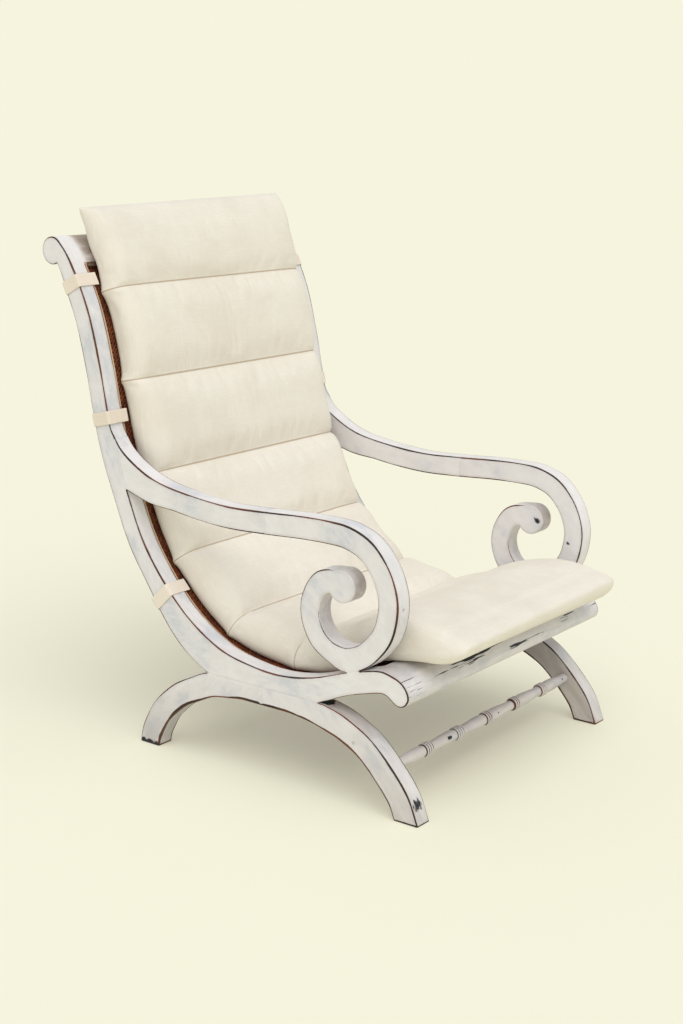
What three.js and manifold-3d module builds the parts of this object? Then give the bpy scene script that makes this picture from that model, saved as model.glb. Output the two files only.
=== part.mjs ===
// Planters chair: a rigid lounge chair of painted wood. Two side frames sawn from boards carry a
// caned seat and back in one sweep, with scrolled arms, turned stretchers and one long cushion.
// Millimetres, +Z up. The chair faces -Y, and the sitter's left is +X.

import * as THREE from "three";
import { mergeVertices } from "three/addons/utils/BufferGeometryUtils.js";
import Module from "manifold-3d";

const wasm = await Module();
wasm.setup();

// Overall size of the wooden frame
const frameWidth = 700;
const frameDepth = 947;
const frameHeight = 1033;

// Side frames, sawn from boards
const boardThickness = 38;
const neckWidth = 33;
const postWidth = 42.5;
const bendWidth = 66;
const seatRailWidth = 43;
const rollRadius = 28;
const noseLength = 57;
const noseDrop = 59;
const armWidth = 44;
const scrollTipRadius = 31;
const legWidth = 51;
const bridgeDepth = 37;
const railOverLegs = 35;
const armJointRun = 21;

// Cross rails, caned panel and its bead
const crestFaceHeight = 55;
const frontRailRun = 24;
const caneThickness = 3;
const caneRecess = 10;
const grooveDepth = 8;
const beadWidth = 8;
const beadRecess = 2;

// Turned stretchers
const stretcherRadius = 12.5;
const stretcherBead = 1.5;
const stretcherBeadPitch = 6;
const tenonRadius = 9;
const tenonLength = 20;

// Dowels, loose tenons and plugs
const dowelRadius = 4;
const dowelLength = 46;
const armDowelLength = 36;
const looseTenonThickness = 12;
const looseTenonWidth = 26;
const looseTenonLength = 60;
const plugRadius = 5;
const plugDepth = 8;

// Cushion and its straps
const cushionSideGap = 13;
const cushionCrown = 82;
const cushionSeam = 20;
const cushionSeamPull = 7;
const cushionTopLength = 72;
const cushionTopTurn = THREE.MathUtils.degToRad(17);
const cushionOverhang = 118;
const cushionFrontRise = 10;
const cushionClearance = 0.9;
const strapCrestGap = 24;
const strapFlareGap = 9;
const strapWidth = 27;
const strapThickness = 2;
const strapClearance = 1;

// Gaps between pieces that touch, and the overrun of a cut past the wood
const jointGap = 0.3;
const overrun = 60;

// Side profile, as shares of the frame's depth and height, from the crest down to the nose
const sittingShares = [
  [0.929, 0.972],
  [0.915, 0.953],
  [0.887, 0.906],
  [0.86, 0.844],
  [0.835, 0.752],
  [0.818, 0.671],
  [0.799, 0.597],
  [0.767, 0.517],
  [0.722, 0.421],
  [0.66, 0.343],
  [0.589, 0.282],
  [0.506, 0.239],
  [0.423, 0.222],
  [0.343, 0.218],
  [0.26, 0.23],
  [0.177, 0.255],
  [0.104, 0.273],
  [0.085, 0.274],
];

// Lip of the front rail below its top edge, as shares of the nose's length and drop
const noseShares = [
  [0.36, 0.075],
  [0.64, 0.18],
  [0.835, 0.33],
  [0.955, 0.53],
  [1, 0.68],
  [0.92, 0.865],
  [0.77, 0.99],
  [0.57, 1],
  [0.41, 0.94],
  [0.25, 0.815],
];

// Top edge of the arm from its flare at the post round to the tip of its scroll
const armShares = [
  [0.779, 0.595],
  [0.724, 0.562],
  [0.667, 0.5425],
  [0.582, 0.5295],
  [0.485, 0.522],
  [0.392, 0.524],
  [0.288, 0.529],
  [0.213, 0.5295],
  [0.165, 0.525],
  [0.117, 0.507],
  [0.082, 0.475],
  [0.06, 0.4375],
  [0.051, 0.396],
  [0.059, 0.3495],
  [0.078, 0.3145],
  [0.116, 0.279],
  [0.159, 0.2585],
  [0.187, 0.2565],
  [0.216, 0.266],
  [0.26, 0.29],
  [0.285, 0.33],
  [0.288, 0.373],
  [0.269, 0.413],
  [0.239, 0.4365],
  [0.192, 0.443],
];
const flareTopShare = 0.634;
const armCrotchShare = 0.517;
const armFlareShare = [0.698, 0.499];
const armFlareStartShare = 0.64;
const scrollJointShare = 0.381;

// Outer edges of the legs: the front one from the middle of the bridge to its foot, and the rear one
// from its foot back to the bridge
const bridgeShare = 0.393;
const frontLegFlatShares = [0.317, 0.245];
const frontLegShares = [
  [0.202, 0.1775],
  [0.165, 0.1655],
  [0.115, 0.141],
  [0.0665, 0.1005],
  [0.0235, 0.052],
  [0, 0],
];
const rearLegShares = [
  [0.7465, 0],
  [0.742, 0.023],
  [0.732, 0.047],
  [0.7, 0.094],
  [0.647, 0.138],
  [0.593, 0.1645],
];
const rearLegFlatShares = [0.541, 0.475];

// Places along the side profile
const railJointShare = 0.565;
const frontStretcherShare = [0.0845, 0.088];
const rearStretcherShare = [0.672, 0.088];
const ringShares = [0, 0.34, 0.68];
const plugShare = [0.156, 0.126];
const scrollFootShare = [0.158, 0.2585];
const noseDowelShare = [0.053, 0.242];
const legDowelShares = [0.317, 0.465];
const armDowelShares = [0.2, 0.5];
const channelShares = [0.113, 0.237, 0.371, 0.497, 0.628, 0.744];

// Swell and neck of a stretcher between two groups of rings: shares of the way out, and of its radius
const swellShares = [
  [0.04, 0.92],
  [0.22, 1],
  [0.5, 0.93],
  [0.76, 0.8],
  [0.93, 0.76],
];

// Widths of the boards, each at a share of the way along its edge
const railWidthShares = [
  [0, neckWidth],
  [0.1, postWidth],
  [0.51, postWidth],
  [0.66, bendWidth],
  [0.74, bendWidth],
  [0.94, seatRailWidth],
  [1, seatRailWidth],
];
const frontLegWidthShares = [
  [0, bridgeDepth],
  [0.12, bridgeDepth],
  [0.4, legWidth],
  [1, legWidth],
];
const rearLegWidthShares = [
  [0, legWidth],
  [0.65, legWidth],
  [0.9, bridgeDepth],
  [1, bridgeDepth],
];

const paint = { color: 0xdcdcde, roughness: 0.55, metalness: 0 };
const caneBrown = { color: 0x4a2012, roughness: 0.6, metalness: 0 };
const paleWood = { color: 0xd2ad80, roughness: 0.6, metalness: 0 };
const cotton = { color: 0xe9e0cc, roughness: 0.95, metalness: 0 };
const webbing = { color: 0xe8d3bd, roughness: 0.9, metalness: 0 };

const innerFace = frameWidth / 2 - boardThickness;
const outerFace = frameWidth / 2;
const boardMiddle = (innerFace + outerFace) / 2;

const inProfile = ([depthShare, heightShare]) =>
  new THREE.Vector2(depthShare * frameDepth, heightShare * frameHeight);

// Solids

const profileAxes = new THREE.Matrix4().makeBasis(
  new THREE.Vector3(0, 1, 0),
  new THREE.Vector3(0, 0, 1),
  new THREE.Vector3(1, 0, 0),
);

function solidOf(geometry) {
  const bare = geometry.index ? geometry.toNonIndexed() : geometry.clone();
  bare.deleteAttribute("normal");
  bare.deleteAttribute("uv");
  const merged = mergeVertices(bare);
  return new wasm.Manifold(
    new wasm.Mesh({
      numProp: 3,
      vertProperties: new Float32Array(merged.attributes.position.array),
      triVerts: new Uint32Array(merged.index.array),
    }),
  );
}

// A board cut to an outline in the side profile, between two places across the chair
function sawn(outline, fromX, toX) {
  const geometry = new THREE.ExtrudeGeometry(new THREE.Shape(outline), {
    depth: toX - fromX,
    bevelEnabled: false,
  });
  return solidOf(geometry.applyMatrix4(profileAxes).translate(fromX, 0, 0));
}

const roundSides = 14;

// A round peg; its direction is across the chair, or a direction in the side profile
function peg(radius, length, centre, direction) {
  const turn = new THREE.Quaternion().setFromUnitVectors(new THREE.Vector3(0, 1, 0), direction);
  const geometry = new THREE.CylinderGeometry(radius, radius, length, roundSides);
  return solidOf(geometry.applyQuaternion(turn).translate(centre.x, centre.y, centre.z));
}

const across = new THREE.Vector3(1, 0, 0);
const at = (x, point) => new THREE.Vector3(x, point.x, point.y);
const along = (direction) => new THREE.Vector3(0, direction.x, direction.y);

// Curves of the side profile: the wood lies to the left of each edge as it is followed

function inset(curve, run, depth) {
  const share = THREE.MathUtils.clamp(run / curve.getLength(), 0, 1);
  const tangent = curve.getTangentAt(share);
  const inward = new THREE.Vector2(-tangent.y, tangent.x);
  return curve.getPointAt(share).addScaledVector(inward, depth);
}

// Points along a curve, at both ends of a run and at each whole step of the curve between them,
// so that pieces on one curve have their facets in line
function edgePoints(curve, fromRun, toRun, curveSteps, depthAt) {
  const step = curve.getLength() / curveSteps;
  const first = Math.floor(fromRun / step) + 1;
  const last = Math.ceil(toRun / step) - 1;
  const length = Math.max(0, last - first + 1);
  const between = Array.from({ length }, (_, i) => (first + i) * step);
  return [fromRun, ...between, toRun].map((run) => inset(curve, run, depthAt(run)));
}

function strip(curve, fromRun, toRun, curveSteps, nearDepthAt, farDepthAt) {
  const near = edgePoints(curve, fromRun, toRun, curveSteps, nearDepthAt);
  const far = edgePoints(curve, fromRun, toRun, curveSteps, farDepthAt);
  return [...near, ...far.reverse()];
}

function widthOf(table, share) {
  const next = Math.max(1, table.findIndex(([place]) => place >= share));
  const [fromShare, fromWidth] = table[next - 1];
  const [toShare, toWidth] = table[next];
  const blend = THREE.MathUtils.smoothstep(share, fromShare, toShare);
  return THREE.MathUtils.lerp(fromWidth, toWidth, blend);
}

// The run along a curve at which a condition on its point first holds
function runWhere(curve, holds) {
  const steps = 2000;
  const places = Array.from({ length: steps }, (_, i) => i / steps);
  return curve.getLength() * places.find((place) => holds(curve.getPointAt(place)));
}

const noDepth = () => 0;
const sittingSteps = 56;
const armSteps = 76;
const legSteps = 26;

const rollCentre = new THREE.Vector2(frameDepth - rollRadius, frameHeight - rollRadius);
const rollFront = new THREE.Vector2(-1, 1).normalize().multiplyScalar(rollRadius).add(rollCentre);
const sittingLine = new THREE.SplineCurve([rollFront, ...sittingShares.map(inProfile)]);
const sittingLength = sittingLine.getLength();
const railWidthAt = (run) => widthOf(railWidthShares, run / sittingLength);
const railJointRun = railJointShare * sittingLength;
const frontRailBack = sittingLength - frontRailRun;

const flareRun = runWhere(sittingLine, (point) => point.y <= flareTopShare * frameHeight);
const crotchRun = runWhere(sittingLine, (point) => point.y <= armCrotchShare * frameHeight);
const crotch = inset(sittingLine, crotchRun, 0);
const armLine = new THREE.SplineCurve([inset(sittingLine, flareRun, 0), ...armShares.map(inProfile)]);
const armLength = armLine.getLength();

const bridgeMiddle = bridgeShare * frameDepth;
const seatLow = Math.min(...sittingShares.map(([, heightShare]) => heightShare)) * frameHeight;
const legTopHeight = seatLow - railOverLegs;
const onLegTop = (depthShare) => new THREE.Vector2(depthShare * frameDepth, legTopHeight);
const frontLegLine = new THREE.SplineCurve([
  onLegTop(bridgeShare),
  ...frontLegFlatShares.map(onLegTop),
  ...frontLegShares.map(inProfile),
]);
const rearLegLine = new THREE.SplineCurve([
  ...rearLegShares.map(inProfile),
  ...rearLegFlatShares.map(onLegTop),
  onLegTop(bridgeShare),
]);

// Outlines

function circle(centre, radius) {
  const edge = new THREE.EllipseCurve(centre.x, centre.y, radius, radius, 0, 2 * Math.PI);
  return edge.getPoints(28).slice(0, -1);
}

function rectangle(low, high) {
  return [
    low,
    new THREE.Vector2(high.x, low.y),
    high,
    new THREE.Vector2(low.x, high.y),
  ];
}

const noseRoot = inset(sittingLine, sittingLength, 0);
const noseUnderside = inset(sittingLine, sittingLength, seatRailWidth);
const noseEdge = new THREE.SplineCurve([
  noseRoot,
  ...noseShares.map(([lengthShare, dropShare]) =>
    new THREE.Vector2(noseRoot.x - lengthShare * noseLength, noseRoot.y - dropShare * noseDrop),
  ),
  noseUnderside,
]);

const railOutline = (fromRun, toRun, grow = 0) =>
  strip(sittingLine, fromRun, toRun, sittingSteps, () => -grow, railWidthAt);

// The rail's outline down to its lip, from a place along it
function railWithNose(fromRun) {
  const top = edgePoints(sittingLine, fromRun, sittingLength, sittingSteps, noDepth);
  const underside = edgePoints(sittingLine, fromRun, sittingLength, sittingSteps, railWidthAt);
  const lip = noseEdge.getPoints(24).slice(1, -1);
  return [...top, ...lip, ...underside.reverse()];
}

// The arm board and its scroll in one outline, with a root that reaches into the post
function armOutline() {
  const flareStart = armFlareStartShare * frameDepth;
  const scrollAndArm = edgePoints(armLine, 0, armLength, armSteps, () => armWidth)
    .reverse()
    .filter((point) => point.x < flareStart);
  const flare = new THREE.SplineCurve([scrollAndArm.at(-1), inProfile(armFlareShare), crotch]);
  return [
    inset(sittingLine, flareRun, postWidth / 2),
    ...edgePoints(armLine, 0, armLength, armSteps, noDepth),
    ...scrollAndArm,
    ...flare.getPoints(8).slice(1),
    inset(sittingLine, crotchRun, postWidth / 2),
  ];
}

// Everything behind the butt joint between the arm and its flare on the post
const armJointTop = inset(armLine, armJointRun, 0);
const armJointRise = armJointTop.clone().sub(crotch).normalize();
const armJointNormal = new THREE.Vector2(armJointRise.y, -armJointRise.x);

function behindArmJoint(shift) {
  const low = crotch.clone().addScaledVector(armJointRise, -overrun);
  const high = armJointTop.clone().addScaledVector(armJointRise, overrun);
  low.addScaledVector(armJointNormal, shift);
  high.addScaledVector(armJointNormal, shift);
  const reach = frameDepth / 2;
  return [
    low,
    low.clone().addScaledVector(armJointNormal, reach),
    high.clone().addScaledVector(armJointNormal, reach),
    high,
  ];
}

// Cutters that cross the whole chair

const wholeDepth = [-overrun, frameDepth + overrun];
const wholeHeight = [-overrun, frameHeight + overrun];

function block([front, back], [bottom, top]) {
  const outline = rectangle(new THREE.Vector2(front, bottom), new THREE.Vector2(back, top));
  return sawn(outline, -outerFace - overrun, outerFace + overrun);
}

const below = (height) => block(wholeDepth, [-overrun, height]);
const above = (height) => block(wholeDepth, [height, frameHeight + overrun]);
const aheadOf = (depth) => block([-overrun, depth], wholeHeight);
const behind = (depth) => block([depth, frameDepth + overrun], wholeHeight);

const caneTop = crestFaceHeight - grooveDepth;
const caneBottom = frontRailBack + grooveDepth;
const caneGroove = sawn(
  strip(
    sittingLine,
    caneTop - jointGap,
    caneBottom + jointGap,
    sittingSteps,
    () => caneRecess - jointGap,
    () => caneRecess + caneThickness + jointGap,
  ),
  -innerFace - grooveDepth - jointGap,
  innerFace + grooveDepth + jointGap,
);

// Pieces

const pieces = new Map();

function piece(name, solid, finish) {
  pieces.set(name, { solid, finish });
}

// A peg, tenon or plug in its own sockets in the pieces that it joins
function joinedBy(name, fastener, socket, finish, ...joined) {
  for (const node of joined) {
    const host = pieces.get(node);
    host.solid = host.solid.subtract(socket);
  }
  piece(name, fastener, finish);
}

function dowel(name, length, centre, direction, ...joined) {
  joinedBy(
    name,
    peg(dowelRadius, length, centre, direction),
    peg(dowelRadius + jointGap, length + 2 * jointGap, centre, direction),
    paleWood,
    ...joined,
  );
}

// Cross rails and the caned panel

const railReach = innerFace - jointGap;
const crestOutline = railOutline(0, crestFaceHeight);
const crestRoll = circle(rollCentre, rollRadius);
piece(
  "crest_rail",
  sawn(crestOutline, -railReach, railReach)
    .add(sawn(crestRoll, -railReach, railReach))
    .subtract(caneGroove),
  paint,
);
piece(
  "front_rail",
  sawn(railWithNose(frontRailBack), -railReach, railReach).subtract(caneGroove),
  paint,
);
piece(
  "cane_panel",
  sawn(
    strip(
      sittingLine,
      caneTop,
      caneBottom,
      sittingSteps,
      () => caneRecess,
      () => caneRecess + caneThickness,
    ),
    -innerFace - grooveDepth,
    innerFace + grooveDepth,
  ),
  caneBrown,
);

const beadTop = crestFaceHeight + jointGap;
const beadBottom = frontRailBack - jointGap;
const beadOutline = (fromRun, toRun) =>
  strip(
    sittingLine,
    fromRun,
    toRun,
    sittingSteps,
    () => beadRecess,
    () => caneRecess - jointGap,
  );
const beadInner = railReach - beadWidth;
const crossBeadReach = beadInner - jointGap;
piece(
  "cane_bead_top",
  sawn(beadOutline(beadTop, beadTop + beadWidth), -crossBeadReach, crossBeadReach),
  paleWood,
);
piece(
  "cane_bead_bottom",
  sawn(beadOutline(beadBottom - beadWidth, beadBottom), -crossBeadReach, crossBeadReach),
  paleWood,
);

// Turned stretchers: groups of three rings, a swell outside each group, and a tenon at each end

function stretcher(centre) {
  const reach = innerFace - jointGap;
  const end = innerFace + tenonLength - jointGap;
  const ringHalf = (3 * stretcherBeadPitch) / 2;
  const half = [];
  ringShares.forEach((ringShare, i) => {
    const ring = ringShare * reach;
    for (let step = i === 0 ? 0 : -3; step <= 3; step++) {
      const bead = step % 2 === 0 ? stretcherBead : 0;
      half.push([stretcherRadius + bead, ring + (step * stretcherBeadPitch) / 2]);
    }
    const next = i + 1 < ringShares.length ? ringShares[i + 1] * reach - ringHalf : reach;
    for (const [share, radiusShare] of swellShares) {
      half.push([radiusShare * stretcherRadius, THREE.MathUtils.lerp(ring + ringHalf, next, share)]);
    }
  });
  half.push([swellShares.at(-1)[1] * stretcherRadius, reach]);
  half.push([tenonRadius, reach], [tenonRadius, end], [0, end]);
  const mirrored = half.map(([radius, place]) => [radius, -place]).reverse();
  const turning = [...mirrored, ...half.slice(1)];
  const geometry = new THREE.LatheGeometry(
    turning.map(([radius, place]) => new THREE.Vector2(radius, place)),
    roundSides,
  );
  const turn = new THREE.Quaternion().setFromUnitVectors(new THREE.Vector3(0, 1, 0), across);
  return solidOf(geometry.applyQuaternion(turn).translate(0, centre.x, centre.y));
}

const frontStretcherCentre = inProfile(frontStretcherShare);
const rearStretcherCentre = inProfile(rearStretcherShare);
piece("front_stretcher", stretcher(frontStretcherCentre), paint);
piece("rear_stretcher", stretcher(rearStretcherCentre), paint);

// Side frames

const armAndScroll = armOutline();
const scrollTip = inset(armLine, armLength, scrollTipRadius);
const scrollJoint = scrollJointShare * frameDepth;
const scrollJointRun = runWhere(armLine, (point) => point.x <= scrollJoint);
const scrollFoot = inProfile(scrollFootShare);
const scrollFootRun = runWhere(sittingLine, (point) => point.x <= scrollFoot.x);
const scrollFootTangent = sittingLine.getTangentAt(scrollFootRun / sittingLength);
const overLegTop = above(legTopHeight - jointGap);
const underFloor = below(0);

function sideFrame(side, sign) {
  const [fromX, toX] = sign > 0 ? [innerFace, outerFace] : [-outerFace, -innerFace];
  const middle = sign * boardMiddle;
  const board = (outline) => sawn(outline, fromX, toX);
  const name = (word) => `${word}_${side}`;

  const whole = board(armAndScroll).add(board(circle(scrollTip, scrollTipRadius)));
  const flare = whole.intersect(board(behindArmJoint(0)));
  piece(
    name("back_post"),
    board(railOutline(0, railJointRun - jointGap / 2))
      .add(board(circle(rollCentre, rollRadius)))
      .add(flare)
      .subtract(caneGroove),
    paint,
  );
  piece(
    name("seat_rail"),
    board(railWithNose(railJointRun + jointGap / 2))
      .subtract(below(legTopHeight))
      .subtract(caneGroove),
    paint,
  );
  piece(
    name("arm"),
    whole.subtract(board(behindArmJoint(-jointGap))).subtract(aheadOf(scrollJoint + jointGap / 2)),
    paint,
  );
  piece(
    name("arm_scroll"),
    whole
      .subtract(behind(scrollJoint - jointGap / 2))
      .subtract(board(railOutline(railJointRun, sittingLength, jointGap))),
    paint,
  );
  piece(
    name("front_leg"),
    board(
      strip(frontLegLine, 0, frontLegLine.getLength(), legSteps, noDepth, (run) =>
        widthOf(frontLegWidthShares, run / frontLegLine.getLength()),
      ),
    )
      .subtract(behind(bridgeMiddle - jointGap / 2))
      .subtract(overLegTop)
      .subtract(underFloor),
    paint,
  );
  piece(
    name("rear_leg"),
    board(
      strip(rearLegLine, 0, rearLegLine.getLength(), legSteps, noDepth, (run) =>
        widthOf(rearLegWidthShares, run / rearLegLine.getLength()),
      ),
    )
      .subtract(aheadOf(bridgeMiddle + jointGap / 2))
      .subtract(overLegTop)
      .subtract(underFloor),
    paint,
  );
  const [beadFrom, beadTo] = sign > 0 ? [beadInner, railReach] : [-railReach, -beadInner];
  piece(name("cane_bead"), sawn(beadOutline(beadTop, beadBottom), beadFrom, beadTo), paleWood);

  // Dowels between the cross rails and this side
  const face = sign * innerFace;
  const post = name("back_post");
  const rail = name("seat_rail");
  const crestDowel = inset(sittingLine, crestFaceHeight / 2, (caneRecess + postWidth) / 2);
  const frontDowel = inset(sittingLine, sittingLength - frontRailRun / 4, seatRailWidth / 2);
  const noseDowel = inProfile(noseDowelShare);
  dowel(name("crest_dowel_upper"), dowelLength, at(face, rollCentre), across, "crest_rail", post);
  dowel(name("crest_dowel_lower"), dowelLength, at(face, crestDowel), across, "crest_rail", post);
  dowel(name("front_dowel_lower"), dowelLength, at(face, noseDowel), across, "front_rail", rail);
  dowel(name("front_dowel_upper"), dowelLength, at(face, frontDowel), across, "front_rail", rail);

  // Loose tenon between the post and the seat rail
  const jointTangent = along(sittingLine.getTangentAt(railJointShare));
  const jointTurn = new THREE.Quaternion().setFromUnitVectors(new THREE.Vector3(0, 1, 0), jointTangent);
  const jointMiddle = inset(sittingLine, railJointRun, railWidthAt(railJointRun) / 2);
  const tenon = (grow) => {
    const geometry = new THREE.BoxGeometry(
      looseTenonThickness + 2 * grow,
      looseTenonLength + 2 * grow,
      looseTenonWidth + 2 * grow,
    );
    return solidOf(geometry.applyQuaternion(jointTurn).translate(middle, jointMiddle.x, jointMiddle.y));
  };
  joinedBy(name("rail_tenon"), tenon(0), tenon(jointGap), paleWood, post, rail);

  // Dowels within this side
  const level = along(new THREE.Vector2(1, 0));
  const upright = along(new THREE.Vector2(0, 1));
  const arm = name("arm");
  armDowelShares.forEach((riseShare, i) => {
    const centre = crotch.clone().lerp(armJointTop, riseShare);
    const label = name(`arm_dowel_${i === 0 ? "lower" : "upper"}`);
    dowel(label, armDowelLength, at(middle, centre), along(armJointNormal), arm, post);
  });
  const scrollDowel = inset(armLine, scrollJointRun, armWidth / 2);
  dowel(name("scroll_dowel"), dowelLength, at(middle, scrollDowel), level, arm, name("arm_scroll"));
  const footNormal = along(new THREE.Vector2(-scrollFootTangent.y, scrollFootTangent.x));
  const footDowel = name("scroll_foot_dowel");
  dowel(footDowel, armDowelLength, at(middle, scrollFoot), footNormal, name("arm_scroll"), rail);
  legDowelShares.forEach((depthShare, i) => {
    const leg = i === 0 ? "front_leg" : "rear_leg";
    const centre = at(middle, onLegTop(depthShare));
    dowel(name(`${leg}_dowel`), dowelLength, centre, upright, name(leg), rail);
  });
  const bridgeCentre = at(middle, new THREE.Vector2(bridgeMiddle, legTopHeight - bridgeDepth / 2));
  dowel(name("bridge_dowel"), dowelLength, bridgeCentre, level, name("front_leg"), name("rear_leg"));

  // Sockets of the stretchers, and the plug over the screw in the front leg
  const socketMiddle = sign * (innerFace + tenonLength / 2);
  for (const [leg, centre] of [
    ["front_leg", frontStretcherCentre],
    ["rear_leg", rearStretcherCentre],
  ]) {
    const host = pieces.get(name(leg));
    host.solid = host.solid.subtract(
      peg(tenonRadius + jointGap, tenonLength + jointGap, at(socketMiddle, centre), across),
    );
  }
  const plugPlace = at(sign * (outerFace - plugDepth / 2), inProfile(plugShare));
  joinedBy(
    name("leg_plug"),
    peg(plugRadius, plugDepth, plugPlace, across),
    peg(plugRadius + jointGap, plugDepth + 2 * jointGap, plugPlace, across),
    paint,
    name("front_leg"),
  );
}

sideFrame("left", 1);
sideFrame("right", -1);

// Cushion: one long pad with sewn channels, thick between its seams and drawn in at them

const cushionWidth = 2 * (innerFace - cushionSideGap);
const padStart = crestFaceHeight / 2;
const padRise = sittingLine
  .getTangentAt(padStart / sittingLength)
  .rotateAround(new THREE.Vector2(), Math.PI + cushionTopTurn)
  .multiplyScalar(cushionTopLength);
const padReach = new THREE.Vector2(-cushionOverhang, cushionFrontRise);
const padLength = padRise.length() + (sittingLength - padStart) + padReach.length();

// How far the pad's underside lies in from the rails' front: on the crest and front rail, or on the cane
function padDepthAt(run) {
  const { smoothstep } = THREE.MathUtils;
  const offCrest = smoothstep(run, crestFaceHeight + beadWidth, 2 * crestFaceHeight);
  const ontoFront = smoothstep(run, frontRailBack - 4 * frontRailRun, frontRailBack - 2 * frontRailRun);
  return (offCrest - ontoFront) * caneRecess - cushionClearance;
}

// The pad's underside, from its top end above the crest to its front end past the nose
function padPoint(share) {
  const run = share * padLength - padRise.length() + padStart;
  if (run < padStart) {
    const rise = padRise.clone().multiplyScalar((padStart - run) / padRise.length());
    return inset(sittingLine, padStart, padDepthAt(padStart)).add(rise);
  }
  if (run > sittingLength) {
    const reach = padReach.clone().multiplyScalar((run - sittingLength) / padReach.length());
    return inset(sittingLine, sittingLength, padDepthAt(sittingLength)).add(reach);
  }
  return inset(sittingLine, run, padDepthAt(run));
}

// Sections along one channel; in the front one they follow the facets of the rails below
function sectionShares(start, end) {
  const evenly = (from, to, count) =>
    Array.from({ length: count }, (_, i) => THREE.MathUtils.lerp(from, to, i / count));
  if (end < 1) return evenly(start, end, 6);
  const facet = sittingLength / sittingSteps / padLength;
  const nose = 1 - padReach.length() / padLength;
  const onRails = Array.from({ length: sittingSteps }, (_, i) => nose - i * facet)
    .filter((share) => share > start + facet / 2)
    .reverse();
  return [start, ...onRails.slice(0, -1), ...evenly(nose, 1, 4)];
}

function cushion() {
  const ringPoints = 20;
  const nearbyShare = 0.0004;
  const edges = [0, ...channelShares, 1];
  const stations = edges.slice(1).flatMap((end, channel) => {
    const start = edges[channel];
    return sectionShares(start, end).map((share) => ({
      share,
      within: (share - start) / (end - start),
    }));
  });
  stations.push({ share: 1, within: 1 });

  const positions = [];
  for (const { share, within } of stations) {
    const plump = Math.sin(Math.PI * within) ** 0.5;
    const thickness = THREE.MathUtils.lerp(cushionSeam, cushionCrown, plump);
    const isEnd = share < channelShares[0] / 2 || share > (1 + channelShares.at(-1)) / 2;
    const halfWidth = cushionWidth / 2 - (isEnd ? 0 : cushionSeamPull * (1 - plump));
    const lift = isEnd ? (cushionCrown - thickness) / 2 : 0;
    const base = padPoint(share);
    const ahead = padPoint(share + nearbyShare).sub(padPoint(share - nearbyShare)).normalize();
    const outward = new THREE.Vector2(ahead.y, -ahead.x);
    for (let i = 0; i < ringPoints; i++) {
      const angle = (2 * Math.PI * (i + 0.5)) / ringPoints;
      const squared = (value, power) => Math.sign(value) * Math.abs(value) ** power;
      const x = halfWidth * squared(Math.cos(angle), 0.24);
      const height = lift + (thickness / 2) * (1 + squared(Math.sin(angle), 0.75));
      const point = base.clone().addScaledVector(outward, height);
      positions.push(x, point.x, point.y);
    }
  }

  const index = [];
  const rings = stations.length;
  for (let ring = 0; ring < rings - 1; ring++) {
    for (let i = 0; i < ringPoints; i++) {
      const a = ring * ringPoints + i;
      const b = ring * ringPoints + ((i + 1) % ringPoints);
      index.push(a, b, a + ringPoints, b, b + ringPoints, a + ringPoints);
    }
  }
  const last = (rings - 1) * ringPoints;
  for (let i = 1; i < ringPoints - 1; i++) {
    index.push(0, i + 1, i);
    index.push(last, last + i, last + i + 1);
  }
  const geometry = new THREE.BufferGeometry();
  geometry.setAttribute("position", new THREE.Float32BufferAttribute(positions, 3));
  geometry.setIndex(index);
  return solidOf(geometry);
}

piece("cushion", cushion(), cotton);

// Straps: bands sewn to the cushion's sides, round the posts and across the back of the chair

function strap(run) {
  const tangent = sittingLine.getTangentAt(run / sittingLength);
  const start = inset(sittingLine, run, 0);
  const woodDepth = Math.max(railWidthAt(run - strapWidth / 2), railWidthAt(run + strapWidth / 2));
  const seam = cushionWidth / 2 + jointGap;
  const band = (grow) => {
    const side = outerFace + strapClearance + grow;
    const front = -strapClearance - grow;
    const back = woodDepth + strapClearance + grow;
    return [
      [-seam, front],
      [-side, front],
      [-side, back],
      [side, back],
      [side, front],
      [seam, front],
    ].map(([x, depth]) => new THREE.Vector2(x, depth));
  };
  const shape = new THREE.Shape([...band(strapThickness), ...band(0).reverse()]);
  const geometry = new THREE.ExtrudeGeometry(shape, { depth: strapWidth, bevelEnabled: false });
  const inward = along(new THREE.Vector2(-tangent.y, tangent.x));
  const lengthwise = new THREE.Vector3().crossVectors(across, inward);
  geometry.translate(0, 0, -strapWidth / 2);
  geometry.applyMatrix4(new THREE.Matrix4().makeBasis(across, inward, lengthwise));
  return solidOf(geometry.translate(0, start.x, start.y));
}

piece("strap_upper", strap(crestFaceHeight + strapCrestGap + strapWidth / 2), webbing);
piece("strap_middle", strap(flareRun - strapFlareGap - strapWidth / 2), webbing);
piece("strap_lower", strap(railJointRun), webbing);

// Assembly, with its origin on the floor under the middle of the whole chair

function meshOf(name, solid, finish) {
  const { numProp, vertProperties, triVerts } = solid.getMesh();
  const positions = new Float32Array((vertProperties.length / numProp) * 3);
  for (let i = 0; i < positions.length / 3; i++) {
    positions.set(vertProperties.subarray(i * numProp, i * numProp + 3), i * 3);
  }
  const geometry = new THREE.BufferGeometry();
  geometry.setAttribute("position", new THREE.BufferAttribute(positions, 3));
  geometry.setIndex(new THREE.BufferAttribute(new Uint32Array(triVerts), 1));
  geometry.computeVertexNormals();
  const mesh = new THREE.Mesh(geometry, new THREE.MeshStandardMaterial(finish));
  mesh.name = name;
  return mesh;
}

const chair = new THREE.Group();
for (const [name, { solid, finish }] of pieces) {
  chair.add(meshOf(name, solid, finish));
}
const extent = new THREE.Box3().setFromObject(chair);
const middle = extent.getCenter(new THREE.Vector3());
chair.position.set(-middle.x, -middle.y, -extent.min.z);

export default chair;
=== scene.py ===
import math
import random

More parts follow.
